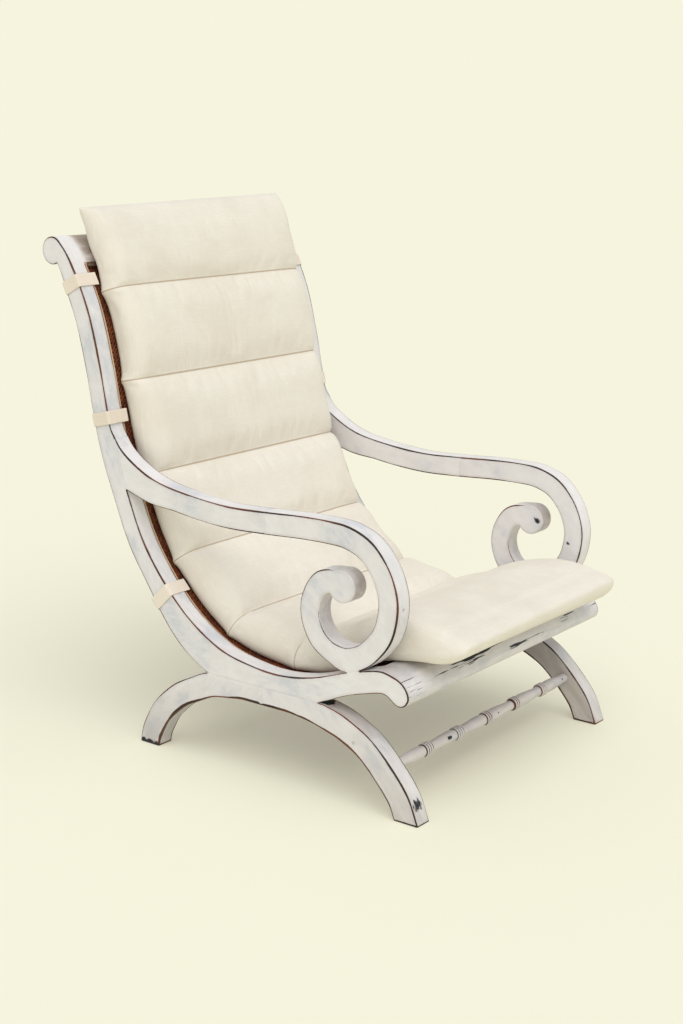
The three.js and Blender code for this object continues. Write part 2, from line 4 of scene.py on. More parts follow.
import bmesh
import bpy
import numpy as np
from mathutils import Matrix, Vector
from mathutils.geometry import delaunay_2d_cdt
from mathutils.kdtree import KDTree


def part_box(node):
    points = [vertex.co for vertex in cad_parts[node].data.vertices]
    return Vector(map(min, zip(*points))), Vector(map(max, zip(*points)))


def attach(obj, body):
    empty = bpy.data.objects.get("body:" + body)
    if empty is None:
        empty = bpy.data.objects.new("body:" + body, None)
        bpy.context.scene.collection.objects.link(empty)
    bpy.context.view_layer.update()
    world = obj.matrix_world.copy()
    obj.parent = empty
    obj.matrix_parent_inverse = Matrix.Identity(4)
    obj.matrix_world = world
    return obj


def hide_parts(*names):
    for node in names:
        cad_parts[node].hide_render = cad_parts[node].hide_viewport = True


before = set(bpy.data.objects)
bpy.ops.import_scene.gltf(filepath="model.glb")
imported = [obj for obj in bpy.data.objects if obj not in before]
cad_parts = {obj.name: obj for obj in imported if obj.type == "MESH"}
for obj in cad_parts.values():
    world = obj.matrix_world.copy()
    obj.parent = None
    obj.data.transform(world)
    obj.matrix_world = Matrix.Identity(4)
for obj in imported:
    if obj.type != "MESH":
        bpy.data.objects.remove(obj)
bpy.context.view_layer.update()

# The studio: a camera at the photograph's place, front right of the chair and a little above its arms,
# a pale floor that runs on to the horizon, an even sky and one broad soft light over the chair's front.
PHOTO_HEIGHT = 1024
FOCAL_PIXELS = 1590.6
SENSOR_MM = 36
CAMERA_PLACE = Vector((-2.5632, -1.99904, 1.23329))
CAMERA_TURN, CAMERA_RISE = math.radians(-52.167), math.radians(13.344)
CREAM = (0.922, 0.905, 0.730, 1.0)

scene = bpy.context.scene
scene.view_settings.view_transform = "Standard"

camera = bpy.data.objects.new("camera", bpy.data.cameras.new("camera"))
scene.collection.objects.link(camera)
scene.camera = camera
toward_camera = Vector((
    math.sin(CAMERA_TURN) * math.cos(CAMERA_RISE),
    -math.cos(CAMERA_TURN) * math.cos(CAMERA_RISE),
    math.sin(CAMERA_RISE),
))
camera.location = CAMERA_PLACE
camera.rotation_mode = "QUATERNION"
camera.rotation_quaternion = (-toward_camera).to_track_quat("-Z", "Y")
camera.data.sensor_width = SENSOR_MM
camera.data.lens = FOCAL_PIXELS / PHOTO_HEIGHT * SENSOR_MM
camera.data.clip_end = 200

FLOOR_REACH = 60
FLOOR_GLOW = 0.26
floor_mesh = bpy.data.meshes.new("floor")
floor_mesh.from_pydata(
    [(-FLOOR_REACH, -FLOOR_REACH, 0), (FLOOR_REACH, -FLOOR_REACH, 0),
     (FLOOR_REACH, FLOOR_REACH, 0), (-FLOOR_REACH, FLOOR_REACH, 0)],
    [], [(0, 1, 2, 3)],
)
floor = bpy.data.objects.new("floor", floor_mesh)
scene.collection.objects.link(floor)
floor_paint = bpy.data.materials.new("floor_paper")
floor_paint.use_nodes = True
floor_shader = floor_paint.node_tree.nodes["Principled BSDF"]
floor_shader.inputs["Base Color"].default_value = CREAM
floor_shader.inputs["Roughness"].default_value = 1.0
floor_shader.inputs["Specular IOR Level"].default_value = 0.0
floor_nodes = floor_paint.node_tree
floor_glow = floor_nodes.nodes.new("ShaderNodeEmission")
floor_glow.inputs["Color"].default_value = CREAM
floor_ray = floor_nodes.nodes.new("ShaderNodeLightPath")
floor_share = floor_nodes.nodes.new("ShaderNodeMath")
floor_share.operation = "MULTIPLY"
floor_share.inputs[1].default_value = FLOOR_GLOW
floor_blend = floor_nodes.nodes.new("ShaderNodeMixShader")
floor_nodes.links.new(floor_ray.outputs["Is Camera Ray"], floor_share.inputs[0])
floor_nodes.links.new(floor_share.outputs["Value"], floor_blend.inputs["Fac"])
floor_nodes.links.new(floor_shader.outputs["BSDF"], floor_blend.inputs[1])
floor_nodes.links.new(floor_glow.outputs["Emission"], floor_blend.inputs[2])
floor_nodes.links.new(floor_blend.outputs["Shader"], floor_nodes.nodes["Material Output"].inputs["Surface"])
floor_mesh.materials.append(floor_paint)

SKY_LEVEL = 0.60
world = bpy.data.worlds.new("studio")
scene.world = world
world.use_nodes = True
sky = world.node_tree
sky_light = sky.nodes["Background"]
sky_light.inputs["Color"].default_value = (1.0, 1.0, 1.0, 1.0)
sky_light.inputs["Strength"].default_value = SKY_LEVEL
sky_seen = sky.nodes.new("ShaderNodeBackground")
sky_seen.inputs["Color"].default_value = CREAM
sky_mix = sky.nodes.new("ShaderNodeMixShader")
sky_ray = sky.nodes.new("ShaderNodeLightPath")
sky_any, sky_seen_by = (sky.nodes.new("ShaderNodeMath") for _ in range(2))
for made in (sky_any, sky_seen_by):
    made.operation = "MAXIMUM"
sky.links.new(sky_ray.outputs["Is Camera Ray"], sky_any.inputs[0])
sky.links.new(sky_ray.outputs["Is Glossy Ray"], sky_any.inputs[1])
sky.links.new(sky_any.outputs["Value"], sky_seen_by.inputs[0])
sky.links.new(sky_ray.outputs["Is Transmission Ray"], sky_seen_by.inputs[1])
sky.links.new(sky_seen_by.outputs["Value"], sky_mix.inputs["Fac"])
sky.links.new(sky_light.outputs["Background"], sky_mix.inputs[1])
sky.links.new(sky_seen.outputs["Background"], sky_mix.inputs[2])
sky.links.new(sky_mix.outputs["Shader"], sky.nodes["World Output"].inputs["Surface"])

SUN_FROM = Vector((-0.42, -0.45, 1.0)).normalized()
SUN_SPREAD = math.radians(55)
sun = bpy.data.objects.new("soft_light", bpy.data.lights.new("soft_light", "SUN"))
sun.data.energy = (1 - SKY_LEVEL) * math.pi / SUN_FROM.z
sun.data.angle = SUN_SPREAD
sun.rotation_mode = "QUATERNION"
sun.rotation_quaternion = SUN_FROM.to_track_quat("Z", "Y")
scene.collection.objects.link(sun)

# The painted finish: brushed off-white paint over dark hardwood, sanded through along every free edge
# and in a few knocks. Where it is thin the wood shows through cold and bluish.
PAINT_LIGHT = (0.845, 0.825, 0.830, 1.0)
PAINT_DEEP = (0.735, 0.712, 0.718, 1.0)
PAINT_THIN = (0.57, 0.61, 0.68, 1.0)
PAINT_GRIME_AND_SHADE = (0.36, 0.295, 0.250, 1.0)
PAINT_HANDLED = (0.50, 0.42, 0.38, 1.0)
WOOD_DARK = (0.030, 0.016, 0.014, 1.0)
WOOD_RED = (0.135, 0.042, 0.022, 1.0)
WOOD_FRESH = (0.36, 0.15, 0.055, 1.0)
WOOD_CHIPPED = (0.018, 0.020, 0.028, 1.0)


class Wiring:
    """Adds nodes to one tree and joins them by short calls."""

    def __init__(self, tree):
        self.tree = tree

    def node(self, kind, settings=None, **inputs):
        made = self.tree.nodes.new(kind)
        for key, value in (settings or {}).items():
            setattr(made, key, value)
        for key, value in inputs.items():
            self.feed(made.inputs[key.replace("_", " ")], value)
        return made

    def feed(self, into, value):
        if isinstance(value, bpy.types.NodeSocket):
            self.tree.links.new(value, into)
        else:
            into.default_value = value

    def math(self, operation, *values):
        made = self.node("ShaderNodeMath", {"operation": operation})
        for into, value in zip(made.inputs, values):
            self.feed(into, value)
        return made.outputs[0]

    def ramp(self, value, low, high, from_value=0.0, to_value=1.0):
        made = self.node("ShaderNodeMapRange", {"interpolation_type": "SMOOTHSTEP"})
        for key, fed in (("Value", value), ("From Min", low), ("From Max", high),
                         ("To Min", from_value), ("To Max", to_value)):
            self.feed(made.inputs[key], fed)
        return made.outputs["Result"]

    def noise(self, vector, scale, detail=2.0, roughness=0.5, stretch=(1, 1, 1), seed=0.0):
        place = self.node("ShaderNodeMapping")
        self.feed(place.inputs["Vector"], vector)
        place.inputs["Scale"].default_value = stretch
        place.inputs["Location"].default_value = (seed, seed * 0.7, seed * 1.3)
        made = self.node("ShaderNodeTexNoise", Scale=scale, Detail=detail, Roughness=roughness)
        self.tree.links.new(place.outputs["Vector"], made.inputs["Vector"])
        return made.outputs["Fac"]

    def mix(self, share, first, second):
        made = self.node("ShaderNodeMix", {"data_type": "RGBA"})
        self.feed(made.inputs["Factor"], share)
        self.feed(made.inputs["A"], first)
        self.feed(made.inputs["B"], second)
        return made.outputs["Result"]


def surface_group(name, **inputs):
    """A node group from a place and the given inputs to a colour, a roughness and a height."""
    group = bpy.data.node_groups.new(name, "ShaderNodeTree")
    group.interface.new_socket(name="Place", in_out="INPUT", socket_type="NodeSocketVector")
    for label, value in inputs.items():
        kind = "NodeSocketColor" if isinstance(value, tuple) else "NodeSocketFloat"
        made = group.interface.new_socket(name=label, in_out="INPUT", socket_type=kind)
        made.default_value = value
    for label, kind in (("Color", "NodeSocketColor"), ("Roughness", "NodeSocketFloat"),
                        ("Height", "NodeSocketFloat")):
        group.interface.new_socket(name=label, in_out="OUTPUT", socket_type=kind)
    w = Wiring(group)
    return group, w, w.node("NodeGroupInput").outputs


def put_out(w, color, roughness, height):
    """Joins a group's results to its outputs."""
    out = w.node("NodeGroupOutput")
    for label, value in (("Color", color), ("Roughness", roughness), ("Height", height)):
        w.feed(out.inputs[label], value)


def sanded_paint_group():
    group, w, given = surface_group("sanded_paint", Edge=12.0, Knock=0.0, Line=1.5, Rub=1.0, Soil=0.0,
                                    Streaks=0.0)
    place = given["Place"]

    # The sanded line: its width drifts along the edge, and its border is ragged
    drift = w.ramp(w.noise(place, 9.0, 3.0, 0.55), 0.34, 0.66, 0.7, 1.35)
    ragged = w.math("SUBTRACT", w.noise(place, 260.0, 2.0, 0.6, seed=3.1), 0.5)
    width = w.math("MULTIPLY", w.math("MULTIPLY", given["Line"], given["Rub"]), drift)
    reach = w.math("ADD", width, w.math("MULTIPLY", ragged, 1.1))
    line = w.math("SUBTRACT", 1.0, w.ramp(w.math("SUBTRACT", given["Edge"], reach), -0.35, 0.35))
    near_edge = w.math("SUBTRACT", 1.0, w.ramp(given["Edge"], 0.5, 9.0))

    # Knocks and streaks, drawn out along the grain
    grain = w.noise(place, 60.0, 4.0, 0.6, stretch=(0.16, 1, 1), seed=5.7)
    speck = w.noise(place, 150.0, 3.0, 0.65, stretch=(0.22, 1, 1), seed=8.2)
    knock = w.ramp(w.math("ADD", w.math("MULTIPLY", speck, 0.6), given["Knock"]), 0.72, 0.84)
    fine = w.noise(place, 210.0, 2.0, 0.5, stretch=(0.05, 1, 1), seed=2.4)
    coarse = w.noise(place, 22.0, 2.0, 0.5, stretch=(0.5, 1, 1), seed=6.6)
    dashes = w.math("ADD", w.math("MULTIPLY", fine, 0.72), w.math("MULTIPLY", coarse, 0.28))
    streak = w.ramp(w.math("ADD", dashes, w.math("MULTIPLY", given["Streaks"], 0.14)), 0.715, 0.745)
    streak = w.math("MULTIPLY", streak, w.ramp(given["Streaks"], 0.05, 0.5))
    bare = w.math("MAXIMUM", line, w.math("MAXIMUM", knock, streak))

    # Paint: brushed on, thinner in long patches, where it turns cold and bluish
    cloud = w.ramp(w.noise(place, 6.0, 4.0, 0.55, seed=1.7), 0.32, 0.70)
    brushed = w.noise(place, 34.0, 3.0, 0.6, stretch=(0.1, 1, 1), seed=4.4)
    thin = w.ramp(w.math("ADD", w.math("MULTIPLY", cloud, 0.55), w.math("MULTIPLY", brushed, 0.45)),
                  0.50, 0.68)
    washed = w.math("MULTIPLY", w.ramp(dashes, 0.42, 0.62), given["Streaks"])
    bruised = w.math("MULTIPLY", w.ramp(given["Knock"], 0.02, 0.5), 0.9)
    thin = w.math("MAXIMUM", thin, w.math("MAXIMUM", washed, bruised))
    mottle = w.ramp(w.noise(place, 45.0, 5.0, 0.68, stretch=(0.5, 1, 1), seed=15.2), 0.36, 0.66)
    paint = w.mix(w.math("ADD", w.math("MULTIPLY", cloud, 0.5), w.math("MULTIPLY", mottle, 0.5)),
                  PAINT_LIGHT, PAINT_DEEP)
    paint = w.mix(w.math("MULTIPLY", thin, w.ramp(mottle, 0.0, 1.0, 0.16, 0.56)), paint, PAINT_THIN)
    fibres = w.math("ADD", w.math("MULTIPLY", brushed, 0.5), w.math("MULTIPLY", grain, 0.5))
    # Grime, and painted shade on the legs and under the seat rail, turn the paint a greyish brown
    grime_and_shade = w.ramp(fibres, 0.36, 0.62, 0.55, 1.0)
    paint = w.mix(w.math("MULTIPLY", given["Soil"], grime_and_shade), paint, PAINT_GRIME_AND_SHADE)
    paint = w.mix(w.math("MULTIPLY", near_edge, w.math("MULTIPLY", grain, 0.5)), paint, PAINT_HANDLED)

    # The wood where it is bare: dark and reddish in turns, fresh where it was rubbed last, blackish in a chip
    wood = w.mix(w.ramp(w.noise(place, 7.0, 2.0, 0.5, seed=9.3), 0.44, 0.6), WOOD_DARK, WOOD_RED)
    fresh = w.math("MULTIPLY", w.ramp(given["Rub"], 1.3, 1.8),
                   w.math("SUBTRACT", 1.0, w.ramp(given["Edge"], 0.5, 1.8)))
    fresh = w.math("MULTIPLY", fresh, w.ramp(w.noise(place, 11.0, 2.0, 0.5, seed=12.6), 0.40, 0.56))
    wood = w.mix(fresh, wood, WOOD_FRESH)
    wood = w.mix(w.ramp(w.math("MAXIMUM", knock, streak), 0.2, 0.9), wood, WOOD_CHIPPED)
    color = w.mix(bare, paint, wood)

    rough = w.ramp(bare, 0.0, 1.0, 0.50, 0.62)
    rough = w.math("ADD", rough, w.math("MULTIPLY", w.math("SUBTRACT", brushed, 0.5), 0.16))
    height = w.math("ADD", w.math("MULTIPLY", brushed, 0.35), w.math("MULTIPLY", grain, 0.25))
    height = w.math("SUBTRACT", height, w.math("MULTIPLY", bare, 0.5))
    put_out(w, color, rough, height)
    return group


sanded_paint = sanded_paint_group()


def attribute(w, name, output="Fac"):
    return w.node("ShaderNodeAttribute", {"attribute_name": name}).outputs[output]


def new_finish(name):
    material = bpy.data.materials.new(name)
    material.use_nodes = True
    return material, Wiring(material.node_tree)


def lay_on(material, w, color, roughness, height, strength, depth):
    """Feeds a material's own shader, with a bump of the given strength and depth in metres."""
    bump = w.node("ShaderNodeBump", Strength=strength, Distance=depth, Height=height)
    shader = material.node_tree.nodes["Principled BSDF"]
    w.feed(shader.inputs["Base Color"], color)
    w.feed(shader.inputs["Roughness"], roughness)
    w.feed(shader.inputs["Normal"], bump.outputs["Normal"])
    return shader


def paint_finish(name, line, streaks=False):
    """The sanded paint as a material. line says how many millimetres wide its edges are rubbed."""
    material, w = new_finish(name)
    worn = w.node("ShaderNodeGroup", {"node_tree": sanded_paint}, Line=line)
    w.feed(worn.inputs["Place"], attribute(w, "grain", "Vector"))
    fed = [("Edge", "edge_mm"), ("Knock", "knock"), ("Soil", "soil_and_shade"), ("Rub", "rub")]
    if streaks:
        fed.append(("Streaks", "streaks"))
    for label, value_name in fed:
        w.feed(worn.inputs[label], attribute(w, value_name))
    shader = lay_on(material, w, worn.outputs["Color"], worn.outputs["Roughness"], worn.outputs["Height"],
                    0.35, 0.0006)
    shader.inputs["Specular IOR Level"].default_value = 0.35
    return material


# The side frames: five curved boards a side, each sawn from one thickness of plank and painted as one.
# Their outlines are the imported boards' own, drawn through smoothly, and every free edge is eased by hand.
BOARD = 0.038
OUTER = 0.350
INNER = OUTER - BOARD
# How far the free arrises are eased, those in a joint, and the middle of each arris as a share of that
EASE, EASE_JOINED, EASE_MIDDLE = 0.0018, 0.0001, 0.293
CORNER_CUT = 0.0022
RAIL_JOINT = 0.0025
OUTLINE_STEP = 0.004
FAIRING_ROUNDS = 24
# How far from its face the rows of points on a board's sawn edge lie, and from its outline those on its face
EDGE_ROWS = (0.0032, 0.006, 0.010)
FACE_ROWS = (0.0045, 0.0075, 0.0115)
BOARD_NAMES = ("back_post", "seat_rail", "arm", "arm_scroll", "front_leg", "rear_leg")
GRAIN_RISE = {"back_post": 70, "seat_rail": 0, "arm": 0, "arm_scroll": 40, "front_leg": 45,
              "rear_leg": -45}


def face_outline(node, face_x):
    """The longest closed outline of a sawn board's flat face, as (y, z) rows turning left round the wood."""
    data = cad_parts[node].data
    keys = [tuple(round(c, 5) for c in v.co) for v in data.vertices]
    edges = set()
    for triangle in data.polygons:
        corners = [keys[i] for i in triangle.vertices]
        if all(abs(c[0] - face_x) < 3e-5 for c in corners):
            for a, b in zip(corners, corners[1:] + corners[:1]):
                edges.add((a[1:], b[1:]))
    following = {a: b for a, b in edges if (b, a) not in edges}
    loops = []
    while following:
        start, point = following.popitem()
        loop = [start]
        while point != start:
            loop.append(point)
            point = following.pop(point)
        loops.append(np.array(loop))
    longest = max(loops, key=len)
    longest = longest[np.linalg.norm(longest - np.roll(longest, 1, 0), axis=1) > 0.0006]
    ahead = np.roll(longest, -1, 0)
    area = (longest[:, 0] * ahead[:, 1] - ahead[:, 0] * longest[:, 1]).sum()
    return longest if area > 0 else longest[::-1]


def turns(points):
    """How far the outline turns at each point, in radians, left turns positive."""
    back = points - np.roll(points, 1, 0)
    on = np.roll(points, -1, 0) - points
    cross = back[:, 0] * on[:, 1] - back[:, 1] * on[:, 0]
    return np.arctan2(cross, (back * on).sum(1))


def drawn_through(points, step, corner=math.radians(38), longest_curved=0.045):
    """The same closed outline with smooth curves between its corners, and points about a step apart."""
    turn = np.abs(turns(points))
    lengths = np.linalg.norm(np.roll(points, -1, 0) - points, axis=1)
    straight = lengths > longest_curved
    corners = (turn > corner) | straight | np.roll(straight, 1)
    first = int(np.argmax(corners)) if corners.any() else 0
    points, corners = np.roll(points, -first, 0), np.roll(corners, -first)
    count = len(points)
    drawn = []
    for i in range(count):
        a, b = points[i], points[(i + 1) % count]
        before = points[i - 1] if not corners[i] else 2 * a - b
        after = points[(i + 2) % count] if not corners[(i + 1) % count] else 2 * b - a
        span = np.linalg.norm(b - a)
        steps = max(1, round(span / step))
        if corners[i] and corners[(i + 1) % count]:
            drawn += [a + (b - a) * t for t in np.arange(steps) / steps]
            continue
        d0 = max(np.linalg.norm(a - before), 1e-6) ** 0.5
        d1 = max(span, 1e-6) ** 0.5
        d2 = max(np.linalg.norm(after - b), 1e-6) ** 0.5
        leave = ((a - before) / d0 - (b - before) / (d0 + d1) + (b - a) / d1) * d1
        arrive = ((b - a) / d1 - (after - a) / (d1 + d2) + (after - b) / d2) * d1
        for t in np.arange(steps) / steps:
            drawn.append((2 * t**3 - 3 * t**2 + 1) * a + (t**3 - 2 * t**2 + t) * leave
                         + (3 * t**2 - 2 * t**3) * b + (t**3 - t**2) * arrive)
    return np.array(drawn)


def faired(points, rounds, corner=math.radians(27)):
    """Evens out the curves of a drawn outline without shrinking them, its corners held."""
    held = (np.abs(turns(points)) > corner)[:, None]
    for _ in range(rounds):
        for share in (0.50, -0.53):
            middle = (np.roll(points, 1, 0) + np.roll(points, -1, 0)) / 2
            points = np.where(held, points, points + share * (middle - points))
    return points


def distance_to(points, starts, ends):
    """Each point's distance to the nearest of some straight pieces."""
    if not len(starts):
        return np.full(len(points), 1.0)
    run = ends - starts
    square = np.maximum((run**2).sum(1), 1e-12)
    nearest = np.full(len(points), 1.0)
    for low in range(0, len(points), 2000):
        part = points[low:low + 2000, None, :] - starts[None]
        share = np.clip((part * run).sum(2) / square, 0, 1)
        gap = part - share[..., None] * run
        nearest[low:low + 2000] = np.sqrt((gap**2).sum(2)).min(1)
    return nearest


def rounded_corners(points, free, size, corner=math.radians(27)):
    """Cuts each free outward corner back to a short arc."""
    turn = turns(points)
    eased = []
    for i, point in enumerate(points):
        if turn[i] > corner and free[i] and free[i - 1]:
            before = points[i - 1] - point
            after = points[(i + 1) % len(points)] - point
            before = point + before / np.linalg.norm(before) * size
            after = point + after / np.linalg.norm(after) * size
            middle = (before + after) / 4 + point / 2
            eased += [before, middle, after]
        else:
            eased.append(point)
    return np.array(eased)


def inward(points):
    """Unit normals into the wood, lengthened at corners so that insets stay parallel."""
    on = np.roll(points, -1, 0) - points
    on /= np.maximum(np.linalg.norm(on, axis=1), 1e-9)[:, None]
    normal = np.stack([-on[:, 1], on[:, 0]], 1)
    both = normal + np.roll(normal, 1, 0)
    size = np.linalg.norm(both, axis=1)
    both /= np.maximum(size, 0.6)[:, None]
    return both * (2 / np.maximum(size, 1.25))[:, None] * np.clip(size, 0, 0.6)[:, None] / 0.6


def forward_and_up(facing):
    """Edges that face the sitter's hands and legs are rubbed through widest."""
    toward = facing @ np.array([-0.77, 0.64])
    return 0.88 + 0.12 * np.clip((toward + 0.15) / 0.5, 0, 1)


def under_the_bows(facing):
    """A leg's lower arrises are rubbed widest of all."""
    return 1.0 + 1.0 * np.clip(-facing[:, 1] / 0.5, 0, 1)


def new_mesh(name, vertices, faces):
    mesh = bpy.data.meshes.new(name)
    mesh.from_pydata(vertices, [], faces)
    return mesh


def smoothed(mesh):
    """Rounds the shading, but for the edges that turn by more than 50 degrees."""
    mesh.shade_smooth()
    mesh.set_sharp_from_angle(angle=math.radians(50))
    return mesh


def ring_faces(rows, ring, turned=False):
    """The four-sided faces between rows of points that each go round in a ring."""
    faces = []
    for row in range(rows - 1):
        for k in range(ring):
            a, b = row * ring + k, row * ring + (k + 1) % ring
            faces.append((a, b, b + ring, a + ring) if turned else (a, a + ring, b + ring, b))
    return faces


def sawn_piece(name, outline, low_x, high_x, free_low, free_high, grain_rise, rubbed=forward_and_up,
               middle_rows=1):
    """A board with eased edges. free_low and free_high say at which points each face's edge is free.
    Its vertices carry the distance to the nearest free edge in millimetres, and the grain's own axes."""
    count = len(outline)
    normal = inward(outline)
    rows = []
    for face_x, sign, free in ((high_x, -1, free_high), (low_x, 1, free_low)):
        ease = np.where(free | np.roll(free, 1), EASE, EASE_JOINED)[:, None]
        face = [np.column_stack([np.full(count, face_x), outline + normal * ease]),
                np.column_stack([face_x + sign * ease * EASE_MIDDLE, outline + normal * ease * EASE_MIDDLE]),
                np.column_stack([face_x + sign * ease, outline])]
        face += [np.column_stack([np.full(count, face_x + sign * mark), outline]) for mark in EDGE_ROWS]
        rows.append(face)
    inner_high, inner_low = high_x - EDGE_ROWS[-1], low_x + EDGE_ROWS[-1]
    middle = []
    for k in range(1, middle_rows + 1):
        x = inner_high + (inner_low - inner_high) * k / (middle_rows + 1)
        middle.append(np.column_stack([np.full(count, x), outline]))
    ladder = rows[0] + middle + rows[1][::-1]
    vertices = list(np.concatenate(ladder))
    faces = ring_faces(len(ladder), count)
    ends = np.roll(outline, -1, 0)
    for face_x, base, flip in ((high_x, 0, False), (low_x, (len(ladder) - 1) * count, True)):
        rim = np.array([v[1:] for v in vertices[base:base + count]])
        inner = []
        for depth in FACE_ROWS:
            offered = outline + normal * depth
            keep = distance_to(offered, outline, ends) > depth * 0.96
            inner += [p for p in offered[keep][::2]]
        given = [Vector(p) for p in rim] + [Vector(p) for p in inner]
        flat, _, triangles, origin, _, _ = delaunay_2d_cdt(given, [], [list(range(count))], 1, 1e-7)
        index = []
        for place, sources in zip(flat, origin):
            rim_source = next((s for s in sources if s < count), None)
            if rim_source is None:
                vertices.append(np.array([face_x, place[0], place[1]]))
                index.append(len(vertices) - 1)
            else:
                index.append(base + rim_source)
        for triangle in triangles:
            corners = [index[k] for k in triangle]
            faces.append(tuple(reversed(corners)) if flip else tuple(corners))
    vertices = np.array(vertices)
    mesh = new_mesh(name, vertices.tolist(), faces)
    mesh.validate()

    flat = vertices[:, 1:]
    nearest = np.full(len(vertices), 1.0)
    for face_x, free in ((high_x, free_high), (low_x, free_low)):
        beside = distance_to(flat, outline[free], ends[free])
        nearest = np.minimum(nearest, np.hypot(beside, vertices[:, 0] - face_x))
    both = free_low | free_high
    corner = (turns(outline) > math.radians(40)) & both & np.roll(both, 1)
    if "leg" in name and corner.any():
        nearest = np.minimum(nearest, distance_to(flat, outline[corner], outline[corner]))
    nearest_point = KDTree(count)
    for i, (y, z) in enumerate(outline):
        nearest_point.insert((0, y, z), i)
    nearest_point.balance()
    facing = -normal[[nearest_point.find((0, y, z))[1] for y, z in flat]]
    write_values(mesh, "rub", rubbed(facing))
    if grain_rise is None:
        grain = vertices
    else:
        rise = math.radians(grain_rise)
        grain = np.column_stack([flat[:, 0] * math.cos(rise) + flat[:, 1] * math.sin(rise),
                                 flat[:, 1] * math.cos(rise) - flat[:, 0] * math.sin(rise),
                                 vertices[:, 0]])
    write_values(mesh, "edge_mm", nearest * 1000)
    write_values(mesh, "grain", grain)
    return smoothed(mesh)


def write_values(mesh, name, values):
    """Puts one number, or one row of three, on each vertex."""
    values = np.asarray(values, np.float32)
    kind, key = ("FLOAT_VECTOR", "vector") if values.ndim == 2 else ("FLOAT", "value")
    held = mesh.attributes.get(name) or mesh.attributes.new(name, kind, "POINT")
    held.data.foreach_set(key, values.ravel())


def corners_of(mesh):
    places = np.empty(len(mesh.vertices) * 3, np.float32)
    mesh.vertices.foreach_get("co", places)
    return places.reshape(-1, 3)


def free_edges(outline, others, near=0.0009):
    """Which pieces of an outline touch none of the others."""
    middles = (outline + np.roll(outline, -1, 0)) / 2
    free = np.ones(len(outline), bool)
    for other in others:
        free &= distance_to(middles, other, np.roll(other, -1, 0)) > near
    return free


def add_piece(name, mesh, finish, slot, *nodes):
    piece = bpy.data.objects.new(name, mesh)
    scene.collection.objects.link(piece)
    mesh.materials.append(finish)
    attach(piece, "root")
    if nodes:
        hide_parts(*nodes)
    return piece


outer_outlines = {name: face_outline(f"{name}_left", OUTER) for name in BOARD_NAMES}
rail_outlines = {name: face_outline(name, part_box(name)[1].x) for name in ("crest_rail", "front_rail")}
# The bottom of the scroll's eye, inside this box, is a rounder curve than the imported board's, all as depth
# and height
EYE_LOW, EYE_HIGH = (-0.325, 0.300), (-0.240, 0.332)
EYE_BOTTOM = ((-0.2414, 0.3302), (-0.2532, 0.3199), (-0.2680, 0.3140), (-0.2811, 0.3118), (-0.2914, 0.3122),
              (-0.3044, 0.3160), (-0.3174, 0.3223))
scroll = outer_outlines["arm_scroll"]
replaced = ((scroll > EYE_LOW) & (scroll < EYE_HIGH)).all(1)
eye_start = int(np.flatnonzero(replaced)[0])
outer_outlines["arm_scroll"] = np.insert(scroll[~replaced], eye_start, EYE_BOTTOM, axis=0)
smooth_outlines = {name: faired(drawn_through(points, OUTLINE_STEP), FAIRING_ROUNDS)
                   for name, points in outer_outlines.items()}
whitewash = paint_finish("whitewashed_hardwood", 2.3, streaks=True)

# Knocks through the paint, and one dark mark of painted shade: board, side, place on it, size and strength.
# Below 0.4 the paint is only thin and bluish there. Places and sizes are in metres, here and in the next two
# tables.
KNOCKS_AND_SHADE = (
    ("seat_rail", "right", -0.350, -0.1056, 0.2001, 0.050, 0.36),
    ("seat_rail", "right", -0.350, -0.1606, 0.2020, 0.040, 0.34),
    ("seat_rail", "right", -0.350, -0.2411, 0.2296, 0.016, 0.52),
    ("seat_rail", "right", -0.350, -0.2600, 0.2330, 0.045, 0.30),
    ("arm_scroll", "right", -0.331, -0.4026, 0.4615, 0.014, 0.52),
    ("arm_scroll", "right", -0.331, -0.4076, 0.4027, 0.016, 0.50),
    ("arm_scroll", "right", -0.331, -0.3990, 0.4880, 0.060, 0.22),
    ("arm_scroll", "right", -0.331, -0.3083, 0.4357, 0.040, 0.36),
    ("arm_scroll", "left", 0.312, -0.3744, 0.3907, 0.013, 0.62),
    ("arm_scroll", "left", 0.312, -0.2946, 0.4268, 0.018, 0.70),
    ("arm_scroll", "left", 0.312, -0.2900, 0.4300, 0.040, 0.34),
    ("front_leg", "right", -0.333, -0.4411, 0.0364, 0.025, 0.66),
    ("front_leg", "right", -0.350, -0.4500, 0.0100, 0.030, 0.42),
    ("front_leg", "right", -0.350, -0.3470, 0.1400, 0.040, 0.26),
    ("rear_leg", "right", -0.350, 0.2080, 0.0020, 0.016, 0.80),
    ("rear_leg", "right", -0.350, 0.2246, 0.0020, 0.016, 0.80),
    ("rear_leg", "right", -0.350, 0.2420, 0.0020, 0.016, 0.80),
    ("rear_leg", "right", -0.350, 0.1789, 0.0731, 0.050, 0.30),
    ("rear_leg", "right", -0.350, 0.0654, 0.1565, 0.050, 0.26),
    ("back_post", "right", -0.350, 0.3235, 0.7128, 0.110, 0.22),
    ("back_post", "right", -0.350, 0.2093, 0.3978, 0.080, 0.24),
    ("back_post", "right", -0.350, 0.1100, 0.5700, 0.030, 0.34),
    ("arm", "right", -0.350, -0.2100, 0.5360, 0.050, 0.26),
    ("front_leg", "left", 0.331, -0.4447, 0.0434, 0.030, 0.34),
    ("rear_leg", "left", 0.350, 0.2200, 0.0100, 0.030, 0.56),
    ("back_post", "left", 0.350, 0.3000, 0.6000, 0.090, 0.30),
    ("seat_rail", "left", 0.350, -0.1900, 0.2150, 0.050, 0.40),
    ("arm_scroll", "left", 0.350, -0.3600, 0.3400, 0.018, 0.50),
    # Painted shade, not a knock: a dark mark at the top of the front leg's edge, in the crotch under the seat
    # rail
    ("front_leg", "right", -0.331, -0.2330, 0.1880, 0.022, 0.90),
)
